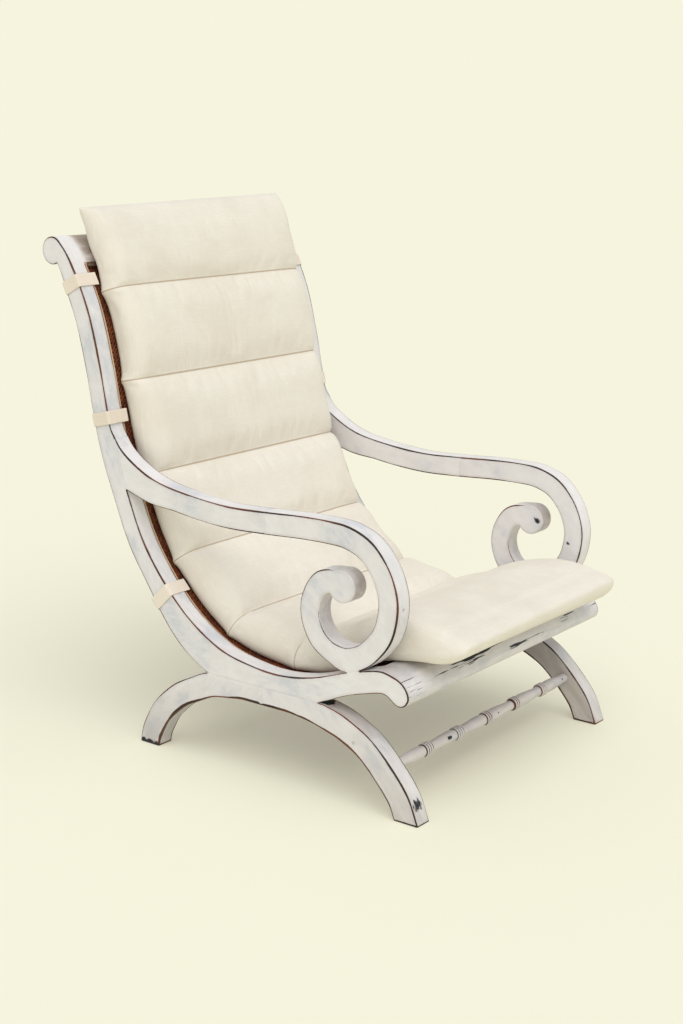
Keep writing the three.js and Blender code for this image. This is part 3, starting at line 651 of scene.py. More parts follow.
# Arrises that were rubbed less: board, depth and height, size, share of the line taken away
UNRUBBED = (("arm_scroll", -0.3060, 0.4330, 0.062, 0.85), ("arm_scroll", -0.2350, 0.4050, 0.040, 0.85),
            ("arm_scroll", -0.2950, 0.3650, 0.100, 0.45))
# Grime in the paint of the sawn edges, and in the last row painted shade with grime: board, depth and height,
# size, strength
SOILED_AND_SHADED_EDGES = (
    ("arm_scroll", -0.3083, 0.4357, 0.060, 0.62),
    ("arm_scroll", -0.2264, 0.3494, 0.075, 0.42),
    ("arm_scroll", -0.2750, 0.3050, 0.045, 0.30),
    ("arm_scroll", -0.3083, 0.4357, 0.040, 0.90),
    # Painted shade with grime: the front leg's front edge is darker just under the seat rail, where the rail
    # shades it
    ("front_leg", -0.2500, 0.1850, 0.110, 0.80),
)
# The seat's nose: from which height and depth it is streaked, and from which depth back it is grimy
NOSE_LOW, NOSE_BACK, NOSE_FRONT = 0.232, -0.385, -0.432


def fading(places, centre, size):
    """One at the centre of a mark, falling evenly to nought at its size."""
    return np.clip(1 - np.sqrt(((places - np.array(centre)) ** 2).sum(1)) / size, 0, 1)


def nose_wear(places):
    """The rubbed streaks and the grime that run across both seat rails' noses and the front rail."""
    x, y, z = places.T
    streaks = np.clip((z - NOSE_LOW) / 0.02, 0, 1) * np.clip(-(y - NOSE_BACK) / 0.02, 0, 1)
    near = np.clip((-x - 0.05) / 0.2, 0, 1)
    soil_and_shade = (0.18 + 0.26 * near) * np.clip((y - NOSE_FRONT) / 0.03, 0, 1)
    return streaks, np.maximum(soil_and_shade, 0.14)


def mark_wear(mesh, name, word):
    """Writes the knocks, the grime and the painted shade of one board."""
    places = corners_of(mesh)
    knock, soil_and_shade = np.zeros(len(places)), np.zeros(len(places))
    for board, side, x, y, z, size, strength in KNOCKS_AND_SHADE:
        if board == name and side == word:
            knock = np.maximum(knock, strength * fading(places, (x, y, z), size) ** 0.6)
    depth = np.abs(places[:, 0])
    sawn_edge = (depth > INNER + 0.0025) & (depth < OUTER - 0.0025)
    for board, y, z, size, strength in SOILED_AND_SHADED_EDGES:
        if board == name:
            grimy = np.where(sawn_edge, strength, 0) * fading(places[:, 1:], (y, z), size) ** 0.4
            soil_and_shade = np.maximum(soil_and_shade, grimy)
    # Painted shade on the legs: darker towards the feet, where less light comes up from the floor, with some
    # scuffs there too, and darker on their inner faces, in the shade under the chair, with some grime
    if "leg" in name:
        low = np.clip(1 - places[:, 2] / 0.20, 0, 1)
        inside = np.where(depth < INNER + 0.001, 0.62, 0.0)
        soil_and_shade = np.maximum(soil_and_shade, np.maximum(0.42 * low, inside))
    for board, y, z, size, away in UNRUBBED:
        if board == name:
            rub = np.empty(len(places), np.float32)
            mesh.attributes["rub"].data.foreach_get("value", rub)
            near = np.clip(2.5 * fading(places[:, 1:], (y, z), size), 0, 1)
            write_values(mesh, "rub", rub * (1 - away * near))
    if name == "seat_rail":
        nose = (depth > INNER - 0.001) & (depth < OUTER - 0.0022) & (places[:, 1] < -0.355)
        streaks, nose_soil = nose_wear(places)
        grain = np.empty(len(places) * 3, np.float32)
        mesh.attributes["grain"].data.foreach_get("vector", grain)
        write_values(mesh, "grain", np.where(nose[:, None], places, grain.reshape(-1, 3)))
        write_values(mesh, "streaks", np.where(nose, streaks, 0))
        soil_and_shade = np.where(nose, nose_soil, soil_and_shade)
    write_values(mesh, "knock", knock)
    write_values(mesh, "soil_and_shade", soil_and_shade)


for name in BOARD_NAMES:
    outline = smooth_outlines[name]
    boards = [points for other, points in outer_outlines.items() if other != name]
    eased = rounded_corners(outline, free_edges(outline, boards), CORNER_CUT)
    free_outer = free_edges(eased, boards)
    free_inner = free_outer & free_edges(eased, rail_outlines.values(), RAIL_JOINT)
    rubbed = under_the_bows if "leg" in name else forward_and_up
    for word, low, high, free in (("left", INNER, OUTER, (free_inner, free_outer)),
                                  ("right", -OUTER, -INNER, (free_outer, free_inner))):
        mesh = sawn_piece(f"{name}_board_{word}", eased, low, high, *free, GRAIN_RISE[name], rubbed)
        mark_wear(mesh, name, word)
        add_piece(f"{name}_board_{word}", mesh, whitewash, "painted_wood", f"{name}_{word}")

# The cross rails: the crest and the front rail, sawn and rounded to the same rolls as the side frames
# and dowelled between them. The front rail's lip is rubbed through in long dark streaks.
RAIL_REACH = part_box("crest_rail")[1].x
# The crest's grime: how wide it is at each end, and from which depth on it fades out towards the back
CREST_GRIME_WIDTH, CREST_GRIME_DEPTH, CREST_GRIME_FADE = 0.014, 0.484, 0.022


def mark_rail(mesh, name):
    """Long rubbed streaks along the front rail's lip, and grime where the cushion touches either rail."""
    places = corners_of(mesh)
    streaks, soil_and_shade = np.zeros(len(places)), np.zeros(len(places))
    if name == "front_rail":
        streaks, soil_and_shade = nose_wear(places)
    else:
        soil_and_shade = 1.2 * np.clip((RAIL_REACH - np.abs(places[:, 0])) / CREST_GRIME_WIDTH, 0, 1)
        soil_and_shade = soil_and_shade * np.clip((CREST_GRIME_DEPTH - places[:, 1]) / CREST_GRIME_FADE, 0, 1)
        edge = np.clip(1 - np.abs(places[:, 2] - places[:, 2].min()) / 0.0016, 0, 1)
        streaks = 0.4 * edge
    write_values(mesh, "knock", np.zeros(len(places)))
    write_values(mesh, "soil_and_shade", soil_and_shade)
    write_values(mesh, "streaks", streaks)


worn_whitewash = paint_finish("rubbed_whitewash", 1.2, streaks=True)

for name in ("crest_rail", "front_rail"):
    outline = drawn_through(rail_outlines[name], OUTLINE_STEP)
    closed = np.zeros(len(outline), bool)
    mesh = sawn_piece(f"{name}_board", outline, -RAIL_REACH, RAIL_REACH, closed, closed, None, middle_rows=60)
    mark_rail(mesh, name)
    add_piece(f"{name}_board", mesh, worn_whitewash, "painted_wood", name)

# The turned stretchers: hardwood spindles with five groups of rings, their ends let into the legs. The rings'
# grooves were left dark when the paint was rubbed back, and so were a few knocks.
SPINDLE_RADIUS = 0.0125
RING_HEIGHT = 0.0015
RING_PITCH = 0.007
RING_PLACES = (0.0, 0.34, 0.68)
SWELLS = ((0.02, 0.86), (0.06, 0.93), (0.14, 0.985), (0.24, 1.0), (0.38, 0.975), (0.52, 0.915),
          (0.66, 0.845), (0.8, 0.785), (0.93, 0.755))
SPINDLE_SIDES, RING_STEPS, SWELL_STEPS = 40, 25, 34
SPINDLE_KNOCKS = ((-0.148, 0.006), (-0.142, 0.006), (0.288, 0.005), (0.030, 0.004))
SPIGOT_RADIUS, SPIGOT_END_RADIUS = 0.0088, 0.0078
SPIGOT_LENGTH, SPIGOT_CHAMFER = 0.018, 0.0015
SPIGOT_GAP = 0.0003


def spindle_rows():
    """Half the spindle, from its middle out: distance from the middle, radius and darkness of the turning."""
    half, reach = [], INNER - SPIGOT_GAP
    ring_half = 1.5 * RING_PITCH
    for number, share in enumerate(RING_PLACES):
        ring = share * reach
        steps = np.linspace(-1, 1, RING_STEPS) if number else np.linspace(0, 1, RING_STEPS // 2 + 1)
        for step in steps:
            along = step * ring_half
            wave = math.cos(2 * math.pi * along / RING_PITCH)
            half.append((ring + along, SPINDLE_RADIUS + RING_HEIGHT * (0.25 + 0.75 * wave),
                         max(0.0, -wave) ** 2))
        onward = RING_PLACES[number + 1] * reach - ring_half if number < 2 else reach
        start = ring + ring_half
        outward, radii = zip(*SWELLS)
        for share_out in np.linspace(SWELLS[0][0], SWELLS[-1][0], SWELL_STEPS):
            half.append((start + (onward - start) * share_out,
                         float(np.interp(share_out, outward, radii)) * SPINDLE_RADIUS, 0.0))
    half.append((reach, SWELLS[-1][1] * SPINDLE_RADIUS, 0.3))
    return half + [(reach, SPIGOT_RADIUS, 0.5), (reach + SPIGOT_LENGTH, SPIGOT_RADIUS, 0.0),
                   (reach + (SPIGOT_LENGTH + SPIGOT_CHAMFER), SPIGOT_END_RADIUS, 0.0)]


def spindle(name, node):
    low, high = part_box(node)
    centre = (low + high) / 2
    half = spindle_rows()
    rows = [(-place, radius, dark) for place, radius, dark in reversed(half[1:])] + half
    vertices, dark_values = [], []
    for place, radius, dark in rows:
        for side in range(SPINDLE_SIDES):
            angle = 2 * math.pi * side / SPINDLE_SIDES
            vertices.append((place, centre.y + radius * math.cos(angle), centre.z + radius * math.sin(angle)))
            dark_values.append(dark)
    faces = ring_faces(len(rows), SPINDLE_SIDES, turned=True)
    faces.append(tuple(reversed(range(SPINDLE_SIDES))))
    faces.append(tuple(range((len(rows) - 1) * SPINDLE_SIDES, len(rows) * SPINDLE_SIDES)))
    mesh = new_mesh(name, vertices, faces)
    places = np.array(vertices)
    write_values(mesh, "edge_mm", 2.4 * (1 - np.array(dark_values)))
    write_values(mesh, "rub", np.ones(len(places)))
    write_values(mesh, "soil_and_shade", np.full(len(places), 0.20))
    knock = np.zeros(len(places))
    for along, size in SPINDLE_KNOCKS:
        spot = (along, centre.y - 0.011, centre.z + 0.005)
        knock = np.maximum(knock, 0.75 * fading(places, spot, size) ** 0.5)
    write_values(mesh, "knock", knock)
    write_values(mesh, "grain", places)
    add_piece(name, smoothed(mesh), spindle_finish, "painted_wood", node)


spindle_finish = paint_finish("whitewashed_turning", 1.4)
spindle("front_spindle", "front_stretcher")
spindle("rear_spindle", "rear_stretcher")

# The screws of the front legs are covered with glued plugs, cut flush and painted over with the legs.
# Only a dark pinhole shows in the middle of each, where the paint has sunk into the end grain.
# The plug's profile from the middle out: radius, and how far it stands out of the leg
PLUG_ROWS = ((0.0, -0.0002), (0.0012, 0.0), (0.0030, 0.0001), (0.0047, 0.00005), (0.0050, -0.0004),
             (0.0050, -0.0078))
PLUG_SIDES = 28
# The pinhole counts as an edge, so the distance to it grows by this much a metre, in millimetres
PINHOLE = 900


def plug(name, node, side):
    low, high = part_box(node)
    centre = (low + high) / 2
    vertices, edge = [(side * (OUTER + PLUG_ROWS[0][1]), centre.y, centre.z)], [0.0]
    for radius, proud in PLUG_ROWS[1:]:
        for turn in range(PLUG_SIDES):
            angle = 2 * math.pi * turn / PLUG_SIDES
            vertices.append((side * (OUTER + proud), centre.y + radius * math.cos(angle),
                             centre.z + radius * math.sin(angle)))
            edge.append(radius * PINHOLE)
    rings = len(PLUG_ROWS) - 1
    faces = [(0, 1 + turn, 1 + (turn + 1) % PLUG_SIDES) for turn in range(PLUG_SIDES)]
    faces += [tuple(1 + corner for corner in face) for face in ring_faces(rings, PLUG_SIDES)]
    faces.append(tuple(1 + (rings - 1) * PLUG_SIDES + turn for turn in reversed(range(PLUG_SIDES))))
    if side < 0:
        faces = [tuple(reversed(face)) for face in faces]
    mesh = new_mesh(name, vertices, faces)
    write_values(mesh, "edge_mm", edge)
    write_values(mesh, "rub", np.ones(len(vertices)))
    write_values(mesh, "soil_and_shade", np.full(len(vertices), 0.2))
    write_values(mesh, "knock", np.zeros(len(vertices)))
    write_values(mesh, "grain", np.array(vertices))
    add_piece(name, smoothed(mesh), spindle_finish, "painted_wood", node)


plug("screw_plug_left", "leg_plug_left", 1)
plug("screw_plug_right", "leg_plug_right", -1)

# The joinery: dowels and loose tenons of bare pale hardwood, glued in their sockets. They can't be seen in
# the finished chair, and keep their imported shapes.
DOWEL_PALE, DOWEL_DARK = (0.56, 0.38, 0.22, 1.0), (0.36, 0.21, 0.11, 1.0)


def hardwood_grain_group():
    group, w, given = surface_group("hardwood_grain", Pale=DOWEL_PALE, Dark=DOWEL_DARK)
    rings = w.noise(given["Place"], 90.0, 4.0, 0.6, stretch=(0.08, 1, 1), seed=1.9)
    pores = w.noise(given["Place"], 420.0, 2.0, 0.6, stretch=(0.12, 1, 1), seed=6.1)
    share = w.ramp(w.math("ADD", w.math("MULTIPLY", rings, 0.7), w.math("MULTIPLY", pores, 0.3)), 0.38, 0.64)
    put_out(w, w.mix(share, given["Pale"], given["Dark"]), w.ramp(pores, 0.3, 0.7, 0.42, 0.62), pores)
    return group


hardwood_grain = hardwood_grain_group()


def bare_wood(name, pale, dark, along_grain=False):
    """Unpainted wood, its grain along the piece's own axes or, for a bent strip, along its grain values."""
    material, w = new_finish(name)
    place = attribute(w, "grain", "Vector") if along_grain else w.node("ShaderNodeTexCoord").outputs["Object"]
    wood = w.node("ShaderNodeGroup", {"node_tree": hardwood_grain}, Place=place, Pale=pale, Dark=dark)
    lay_on(material, w, wood.outputs["Color"], wood.outputs["Roughness"], wood.outputs["Height"], 0.3, 0.0004)
    return material


def finish_packed(node, material):
    """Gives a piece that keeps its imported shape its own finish."""
    for held in node.material_slots:
        held.material = material


dowel_wood = bare_wood("dowel_hardwood", DOWEL_PALE, DOWEL_DARK)
for node_name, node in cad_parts.items():
    if "dowel" in node_name or "tenon" in node_name:
        finish_packed(node, dowel_wood)

# The cane: split rattan stained dark red-brown, woven in the common pattern of pairs up and across with
# single strands both ways through them, and held in a groove along the side frames and the cross rails. A
# flat binding strip lies behind the weave along both sides, so that light comes through only farther in.
CANE_PITCH = 0.0094
STRAND = 0.0036
STRAND_THICK = 0.0017
PAIR = 0.0027
PAIR_SPREAD = 1.35
BINDING_WIDTH = 0.044
BINDING_THICK = 0.0005
BINDING_LEVEL = -0.0016
# How far the strands rise and sink as they cross, and how unevenly they lie
CROSSING = 0.0012
WANDER = 0.00018
CANE_DARK = (0.095, 0.022, 0.008, 1.0)
CANE_RED = (0.27, 0.072, 0.022, 1.0)
CANE_FIBRE = (0.36, 0.13, 0.048, 1.0)


def section_at(node, x):
    """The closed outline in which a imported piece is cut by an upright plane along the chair."""
    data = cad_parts[node].data
    places = corners_of(data)
    pieces = []
    for triangle in data.polygons:
        corners = places[list(triangle.vertices)]
        cut = []
        for a, b in zip(corners, np.roll(corners, -1, 0)):
            if (a[0] - x) * (b[0] - x) < 0:
                share = (x - a[0]) / (b[0] - a[0])
                cut.append(a[1:] + (b[1:] - a[1:]) * share)
        if len(cut) == 2:
            pieces.append(cut)
    loop = [pieces[0][0], pieces.pop(0)[1]]
    while pieces:
        gaps = [min((np.linalg.norm(piece[end] - loop[-1]), end) for end in (0, 1)) for piece in pieces]
        best = min(range(len(pieces)), key=lambda i: gaps[i][0])
        piece = pieces.pop(best)
        loop.append(piece[1 - gaps[best][1]])
    return np.array(loop[:-1])


def two_chains(loop, start, end):
    """A closed outline as two chains from one of its points to another."""
    loop = np.roll(loop, -start, 0)
    end = (end - start) % len(loop)
    return loop[:end + 1], np.vstack([loop[end:], loop[:1]])[::-1]


def gaps_along(chain):
    return np.linalg.norm(np.diff(chain, axis=0), axis=1)


def run_along(chain):
    """How far along a chain of points each of them lies."""
    return np.concatenate([[0], np.cumsum(gaps_along(chain))])


def densely(chain, count):
    """The same chain divided into even steps."""
    run = run_along(chain)
    at = np.linspace(0, run[-1], count)
    return np.column_stack([np.interp(at, run, chain[:, k]) for k in (0, 1)])


def evenly(chain, count, calm=0.03):
    """A chain drawn through smoothly, each point evened out over calm metres, and divided into even steps."""
    chain = chain[np.concatenate([[True], gaps_along(chain) > 1e-5])]
    line = densely(chain, count * 4 + 1)
    window = max(3, int(calm / (run_along(chain)[-1] / (count * 4))) | 1)
    weights = np.hanning(window + 2)[1:-1]
    weights /= weights.sum()
    half = window // 2
    before = 2 * line[0] - line[1:half + 1][::-1]
    after = 2 * line[-1] - line[-half - 1:-1][::-1]
    padded = np.vstack([before, line, after])
    smooth = np.column_stack([np.convolve(padded[:, k], weights, "valid") for k in (0, 1)])
    return densely(smooth, count)


def chain_frame(chain):
    """The unit direction along a chain of points, and the one out of the seat, towards the sitter."""
    ahead = np.gradient(chain, axis=0)
    ahead /= np.linalg.norm(ahead, axis=1)[:, None]
    return ahead, np.column_stack([ahead[:, 1], -ahead[:, 0]])


# Off the middle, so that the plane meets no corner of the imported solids
SECTION_X = 0.1003
cane_loop = section_at("cane_panel", SECTION_X)
top_end, front_end = int(np.argmax(cane_loop[:, 1])), int(np.argmin(cane_loop[:, 0]))
cane_back, cane_front = two_chains(cane_loop, top_end, front_end)
cane_line = (evenly(cane_back, 1500) + evenly(cane_front, 1500)) / 2
cane_run = run_along(cane_line)
cane_out = chain_frame(cane_line)[1]
CANE_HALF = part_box("cane_panel")[1].x


def on_cane(across, run, lift):
    """Places on the cane from rows of distances across, along and out of it."""
    run = np.clip(run, 0, cane_run[-1])
    flat = [np.interp(run, cane_run, cane_line[:, k]) for k in (0, 1)]
    out = [np.interp(run, cane_run, cane_out[:, k]) for k in (0, 1)]
    return np.stack([across, flat[0] + out[0] * lift, flat[1] + out[1] * lift], -1)


class Weave:
    """Gathers strands as three-sided ribbons, flat below and ridged on top."""

    def __init__(self):
        self.vertices, self.faces, self.count, self.tones = [], [], 0, []

    def strand(self, across, run, lift, tone, width=STRAND, thick=STRAND_THICK):
        across, run, lift = (np.asarray(v, float) for v in (across, run, lift))
        ahead = np.gradient(np.column_stack([across, run]), axis=0)
        ahead /= np.maximum(np.linalg.norm(ahead, axis=1), 1e-9)[:, None]
        side = np.column_stack([-ahead[:, 1], ahead[:, 0]]) * width / 2
        rows = np.stack([
            on_cane(across - side[:, 0], run - side[:, 1], lift - thick * 0.35),
            on_cane(across + side[:, 0], run + side[:, 1], lift - thick * 0.35),
            on_cane(across, run, lift + thick * 0.65),
        ], 1)
        length = len(rows)
        base = self.count + 3 * np.arange(length - 1)[:, None]
        for a, b in ((0, 1), (1, 2), (2, 0)):
            self.faces.append(np.hstack([base + a, base + a + 3, base + b + 3, base + b]))
        self.vertices.append(rows.reshape(-1, 3))
        self.tones.append(np.full(3 * length, tone))
        self.count += 3 * length


def woven_cane():
    weave, chance = Weave(), random.Random(7)
    columns, rows = round(2 * CANE_HALF / CANE_PITCH), round(cane_run[-1] / CANE_PITCH)
    across_step, run_step = 2 * CANE_HALF / columns, cane_run[-1] / rows

    def wandering(stations):
        return np.array([chance.uniform(-1, 1) for _ in stations]) * WANDER

    # The pairs up and down, then the pairs across
    stations = np.arange(rows + 1) * run_step
    for column in range(1, columns):
        for half in (-1, 1):
            x = -CANE_HALF + column * across_step + half * PAIR / 2 * PAIR_SPREAD
            lift = -CROSSING * 0.6 + 0.0003 * np.cos(np.arange(len(stations)) * math.pi)
            wander = wandering(stations)
            weave.strand(x + wander, stations, lift, chance.random())
    stations = -CANE_HALF + np.arange(2 * columns + 1) * across_step / 2
    for row in range(rows):
        for half in (-1, 1):
            run = (row + 0.5) * run_step + half * PAIR / 2 * PAIR_SPREAD
            lift = CROSSING * 0.35 - 0.0004 * np.cos(np.arange(len(stations)) * math.pi)
            wander = wandering(stations)
            weave.strand(stations, run + wander, lift, chance.random())

    # The single strands on the two slants, over the pairs at every second crossing
    for slant, starts, height in ((1, range(-rows, columns), 0.9), (-1, range(columns + rows), 1.15)):
        for start in starts:
            steps = [(start + slant * k / 2, k / 2) for k in range(2 * rows + 1)
                     if 0 <= start + slant * k / 2 <= columns]
            if len(steps) < 3:
                continue
            u, v = np.array(steps).T
            under = np.arange(len(u)) % 2 == 0
            lift = CROSSING * height * np.where(under, 0.4, 1.0) * 1.1
            weave.strand(-CANE_HALF + u * across_step, v * run_step, lift, chance.random())

    # The binding behind them
    stations = np.arange(rows + 1) * run_step
    level = np.full(len(stations), BINDING_LEVEL)
    for side in (-1, 1):
        middle = side * (CANE_HALF - BINDING_WIDTH / 2)
        weave.strand(np.full(len(stations), middle), stations, level, 0.25, BINDING_WIDTH, BINDING_THICK)
    mesh = bpy.data.meshes.new("woven_cane")
    vertices, faces = np.concatenate(weave.vertices), np.concatenate(weave.faces)
    mesh.vertices.add(len(vertices))
    mesh.vertices.foreach_set("co", vertices.astype(np.float32).ravel())
    mesh.loops.add(faces.size)
    mesh.loops.foreach_set("vertex_index", faces.ravel().astype(np.int32))
    mesh.polygons.add(len(faces))
    mesh.polygons.foreach_set("loop_start", (np.arange(len(faces)) * 4).astype(np.int32))
    mesh.update(calc_edges=True)
    mesh.validate()
    write_values(mesh, "tone", np.concatenate(weave.tones))
    mesh.shade_smooth()
    return mesh


def cane_finish():
    material, w = new_finish("stained_cane")
    place = w.node("ShaderNodeTexCoord").outputs["Object"]
    fibre = w.noise(place, 700.0, 2.0, 0.6)
    patch = w.noise(place, 30.0, 2.0, 0.5, seed=4.0)
    share = w.math("ADD", w.math("MULTIPLY", attribute(w, "tone"), 0.55), w.math("MULTIPLY", patch, 0.45))
    color = w.mix(w.ramp(share, 0.2, 0.8), CANE_DARK, CANE_RED)
    color = w.mix(w.ramp(fibre, 0.5, 0.8, 0.0, 0.4), color, CANE_FIBRE)
    lay_on(material, w, color, w.ramp(fibre, 0.3, 0.7, 0.34, 0.52), fibre, 0.25, 0.0002)
    return material


add_piece("woven_cane", woven_cane(), cane_finish(), "woven_cane", "cane_panel")

# The bead: a half-round strip of bare oiled wood, pinned over the edge of the cane all round the opening.
# Along the top and the bottom, where the cushion lies on it, it is darker, with dust and handling and with
# painted shade from the cushion over it.
BEAD_ROWS = 9
BEAD_UNDER = -0.0008
BEAD_CROWN = 0.0026
BEAD_PALE, BEAD_DARK = (0.72, 0.52, 0.34, 1.0), (0.50, 0.31, 0.17, 1.0)
DUST_AND_SHADE_PALE, DUST_AND_SHADE_DARK = (0.20, 0.125, 0.085, 1.0), (0.10, 0.055, 0.035, 1.0)
bead_wood = bare_wood("oiled_bead", BEAD_PALE, BEAD_DARK, along_grain=True)


def bead(name, node, line, low, high):
    """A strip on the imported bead's outline: its own flat underside, and a rounded crown on top."""
    out, run = chain_frame(line)[1], run_along(line)
    half_width = (high - low) / 2
    vertices, grain = [], []
    for i, point in enumerate(line):
        for k in range(BEAD_ROWS):
            angle = math.pi * k / (BEAD_ROWS - 1)
            lift = BEAD_UNDER + BEAD_CROWN * math.sin(angle) ** 0.8
            vertices.append((low + half_width - half_width * math.cos(angle), *(point + out[i] * lift)))
            grain.append((run[i], vertices[-1][0], lift))
    faces = ring_faces(len(line), BEAD_ROWS)
    faces.append(tuple(range(BEAD_ROWS)))
    faces.append(tuple(reversed(range((len(line) - 1) * BEAD_ROWS, len(line) * BEAD_ROWS))))
    mesh = new_mesh(name, vertices, faces)
    write_values(mesh, "grain", grain)
    add_piece(name, smoothed(mesh), bead_wood, "bead_wood", node)


bead_low, bead_high = (corner.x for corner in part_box("cane_bead_left"))
bead_loop = section_at("cane_bead_left", (bead_low + bead_high) / 2)
bead_ends = [int(np.argmax(bead_loop[:, 1])), int(np.argmin(bead_loop[:, 0]))]
bead_back, bead_front = two_chains(bead_loop, *bead_ends)
bead_line = (evenly(bead_back, 260) + evenly(bead_front, 260)) / 2
bead("bead_left", "cane_bead_left", bead_line, bead_low, bead_high)
bead("bead_right", "cane_bead_right", bead_line, -bead_high, -bead_low)

# The top and bottom beads are coloured darker with dust and with painted shade from the cushion over them
for node_name in ("cane_bead_top", "cane_bead_bottom"):
    finish_packed(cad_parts[node_name], bare_wood(node_name + "_wood", DUST_AND_SHADE_PALE, DUST_AND_SHADE_DARK))

# The cushion: one long loose pad in cream cotton, stuffed in seven channels between six sewn seams. It lies
# on the cane from above the crest to past the front rail, and both its ends run out to a soft sewn edge.
# How thick it is over each channel from the top down, at a seam, at a seam's two ends, and at the tips
PAD_CROWNS = (0.062, 0.064, 0.070, 0.073, 0.074, 0.074, 0.076)
PAD_SEAM = 0.053
PAD_SEAM_END = 0.042
PAD_TIP = 0.016
# Each end's nose: how far in it is full, and how blunt it is
TOP_NOSE, FRONT_NOSE = (0.078, 0.52), (0.125, 0.60)
# Its width: how far the crowns draw the sides in, how the front corners and the long edges are rounded
PAD_HALF_WIDTH = 0.3000
PAD_PULL = 0.007
PAD_CORNER = 0.032
PAD_ROUND = 0.032
PAD_ROUND_UNDER = 0.014
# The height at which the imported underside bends, which the cloth doesn't, over how many metres its line is
# evened out above that, and how much of the pad from the top down that takes in, with its fading
PAD_TOP_BEND = 1.045
PAD_CALM = 0.16
PAD_CALM_DOWN_TO, PAD_CALM_FADE = 0.34, 0.14
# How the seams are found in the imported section: the points on each face, how close the faces come in a seam,
# and how many points lie between a seam and the ends, the next seam, and anything closer
SEAM_POINTS, SEAM_CLOSE, SEAM_FROM_END, SEAM_APART, SEAM_REACH = 2000, 0.030, 60, 50, 40
SEAM_TAPER = 0.085
# The top end stands up off the crest, and the front end hangs over the rail: how far in each of these
# reaches, how far it moves the pad, and how much more or less it moves the left side
STAND_REACH, STAND_OFF, STAND_OFF_LEFT, STAND_UP, STAND_UP_LEFT = 0.20, 0.010, 0.010, 0.007, 0.004
CURL_REACH, CURL = 0.075, 0.011
HANG_REACH, HANG, HANG_LEFT, HANG_FALL = 0.115, 0.033, -0.007, 0.17
SAG_PLACE, SAG_SPREAD, SAG, SAG_LEFT = 0.046, 0.030, 0.009, 0.005
# The mesh: its step along the pad, the points along its underside, round each edge and across the top
PAD_STEP = 0.0068
PAD_POINTS = 1600
PAD_EDGE_POINTS, PAD_FLAT_POINTS = 8, 70


def channel_seams(top, under):
    """Where the seams lie along the pad's underside, from where its two faces come closest."""
    near = np.empty(len(top))
    place = np.empty(len(top), int)
    for low in range(0, len(top), 200):
        gap = np.linalg.norm(top[low:low + 200, None] - under[None], axis=2)
        near[low:low + 200], place[low:low + 200] = gap.min(1), gap.argmin(1)
    found = []
    for i in range(SEAM_FROM_END, len(top) - SEAM_FROM_END):
        closest = near[i] == near[i - SEAM_REACH:i + SEAM_REACH + 1].min()
        if closest and near[i] < SEAM_CLOSE and place[i] > SEAM_FROM_END:
            if not found or place[i] - found[-1] > SEAM_APART:
                found.append(int(place[i]))
    return np.array(found) / (len(under) - 1)


def pad_faces(loop):
    """The pad's underside and its top, each as a chain of points from the top end to the front end."""
    sharp = np.flatnonzero(np.abs(turns(loop)) > math.radians(40))
    at_top = sharp[np.argsort(loop[sharp, 1])[-2:]]
    at_front = sharp[np.argsort(loop[sharp, 0])[:2]]
    upper_back = at_top[np.argmax(loop[at_top, 0])]
    lower_back = at_front[np.argmin(loop[at_front, 1])]
    upper_face = at_top[np.argmin(loop[at_top, 0])]
    lower_face = at_front[np.argmax(loop[at_front, 1])]
    under = min(two_chains(loop, upper_back, lower_back), key=lambda chain: -chain[:, 0].mean())
    face = min(two_chains(loop, upper_face, lower_face), key=lambda chain: chain[:, 0].mean())
    return under, face


under_chain, top_chain = pad_faces(section_at("cushion", SECTION_X))
bent = under_chain[under_chain[:, 1] > PAD_TOP_BEND]
under_chain = under_chain[under_chain[:, 1] <= PAD_TOP_BEND]
upward = under_chain[0] - under_chain[3]
upward *= np.linalg.norm(bent[0] - under_chain[0]) / np.linalg.norm(upward)
under_chain = np.vstack([under_chain[0] + upward, under_chain])
pad_seams = channel_seams(densely(top_chain, SEAM_POINTS), densely(under_chain, SEAM_POINTS))
pad_under = evenly(under_chain, PAD_POINTS)
evened = evenly(under_chain, PAD_POINTS, PAD_CALM)
at_top = np.clip((PAD_CALM_DOWN_TO - np.linspace(0, 1, PAD_POINTS)) / PAD_CALM_FADE, 0, 1)[:, None]
pad_calm = pad_under + (evened - pad_under) * at_top ** 2 * (3 - 2 * at_top)
pad_ahead, pad_out = chain_frame(pad_calm)
pad_length = gaps_along(pad_under).sum()


def pad_stations():
    """Shares along the pad, each channel in even steps so that every seam falls on a station."""
    borders = [0.0, *pad_seams, 1.0]
    shares = []
    for start, end in zip(borders, borders[1:]):
        steps = max(8, round((end - start) * pad_length / PAD_STEP))
        shares += list(start + (end - start) * np.arange(steps) / steps)
    return np.array(shares + [1.0])


def pad_thickness(share, from_side):
    """How thick and how plump the pad is at a share of its length, from_side metres in from its side."""
    borders = np.array([0.0, *pad_seams, 1.0])
    channel = np.clip(np.searchsorted(borders, share, "right") - 1, 0, len(borders) - 2)
    start, end = borders[channel], borders[channel + 1]
    within = (share - start) / (end - start)
    seam = PAD_SEAM_END + (PAD_SEAM - PAD_SEAM_END) * np.clip(from_side / SEAM_TAPER, 0, 1) ** 0.7
    plump = np.clip(1 - np.abs(2 * within - 1) ** 4, 0, 1) ** 0.58
    crown = np.array(PAD_CROWNS)[channel]
    thick = seam + (crown - seam) * plump
    ends = (((channel == 0) & (within < 0.5), share, TOP_NOSE),
            ((channel == len(borders) - 2) & (within > 0.5), 1 - share, FRONT_NOSE))
    for in_nose, from_end, (reach, blunt) in ends:
        nose = (1 - (1 - np.clip(from_end * pad_length / reach, 0, 1)) ** 2.1) ** blunt
        thick = np.where(in_nose, PAD_TIP + (crown - PAD_TIP) * nose, thick)
    return thick, plump


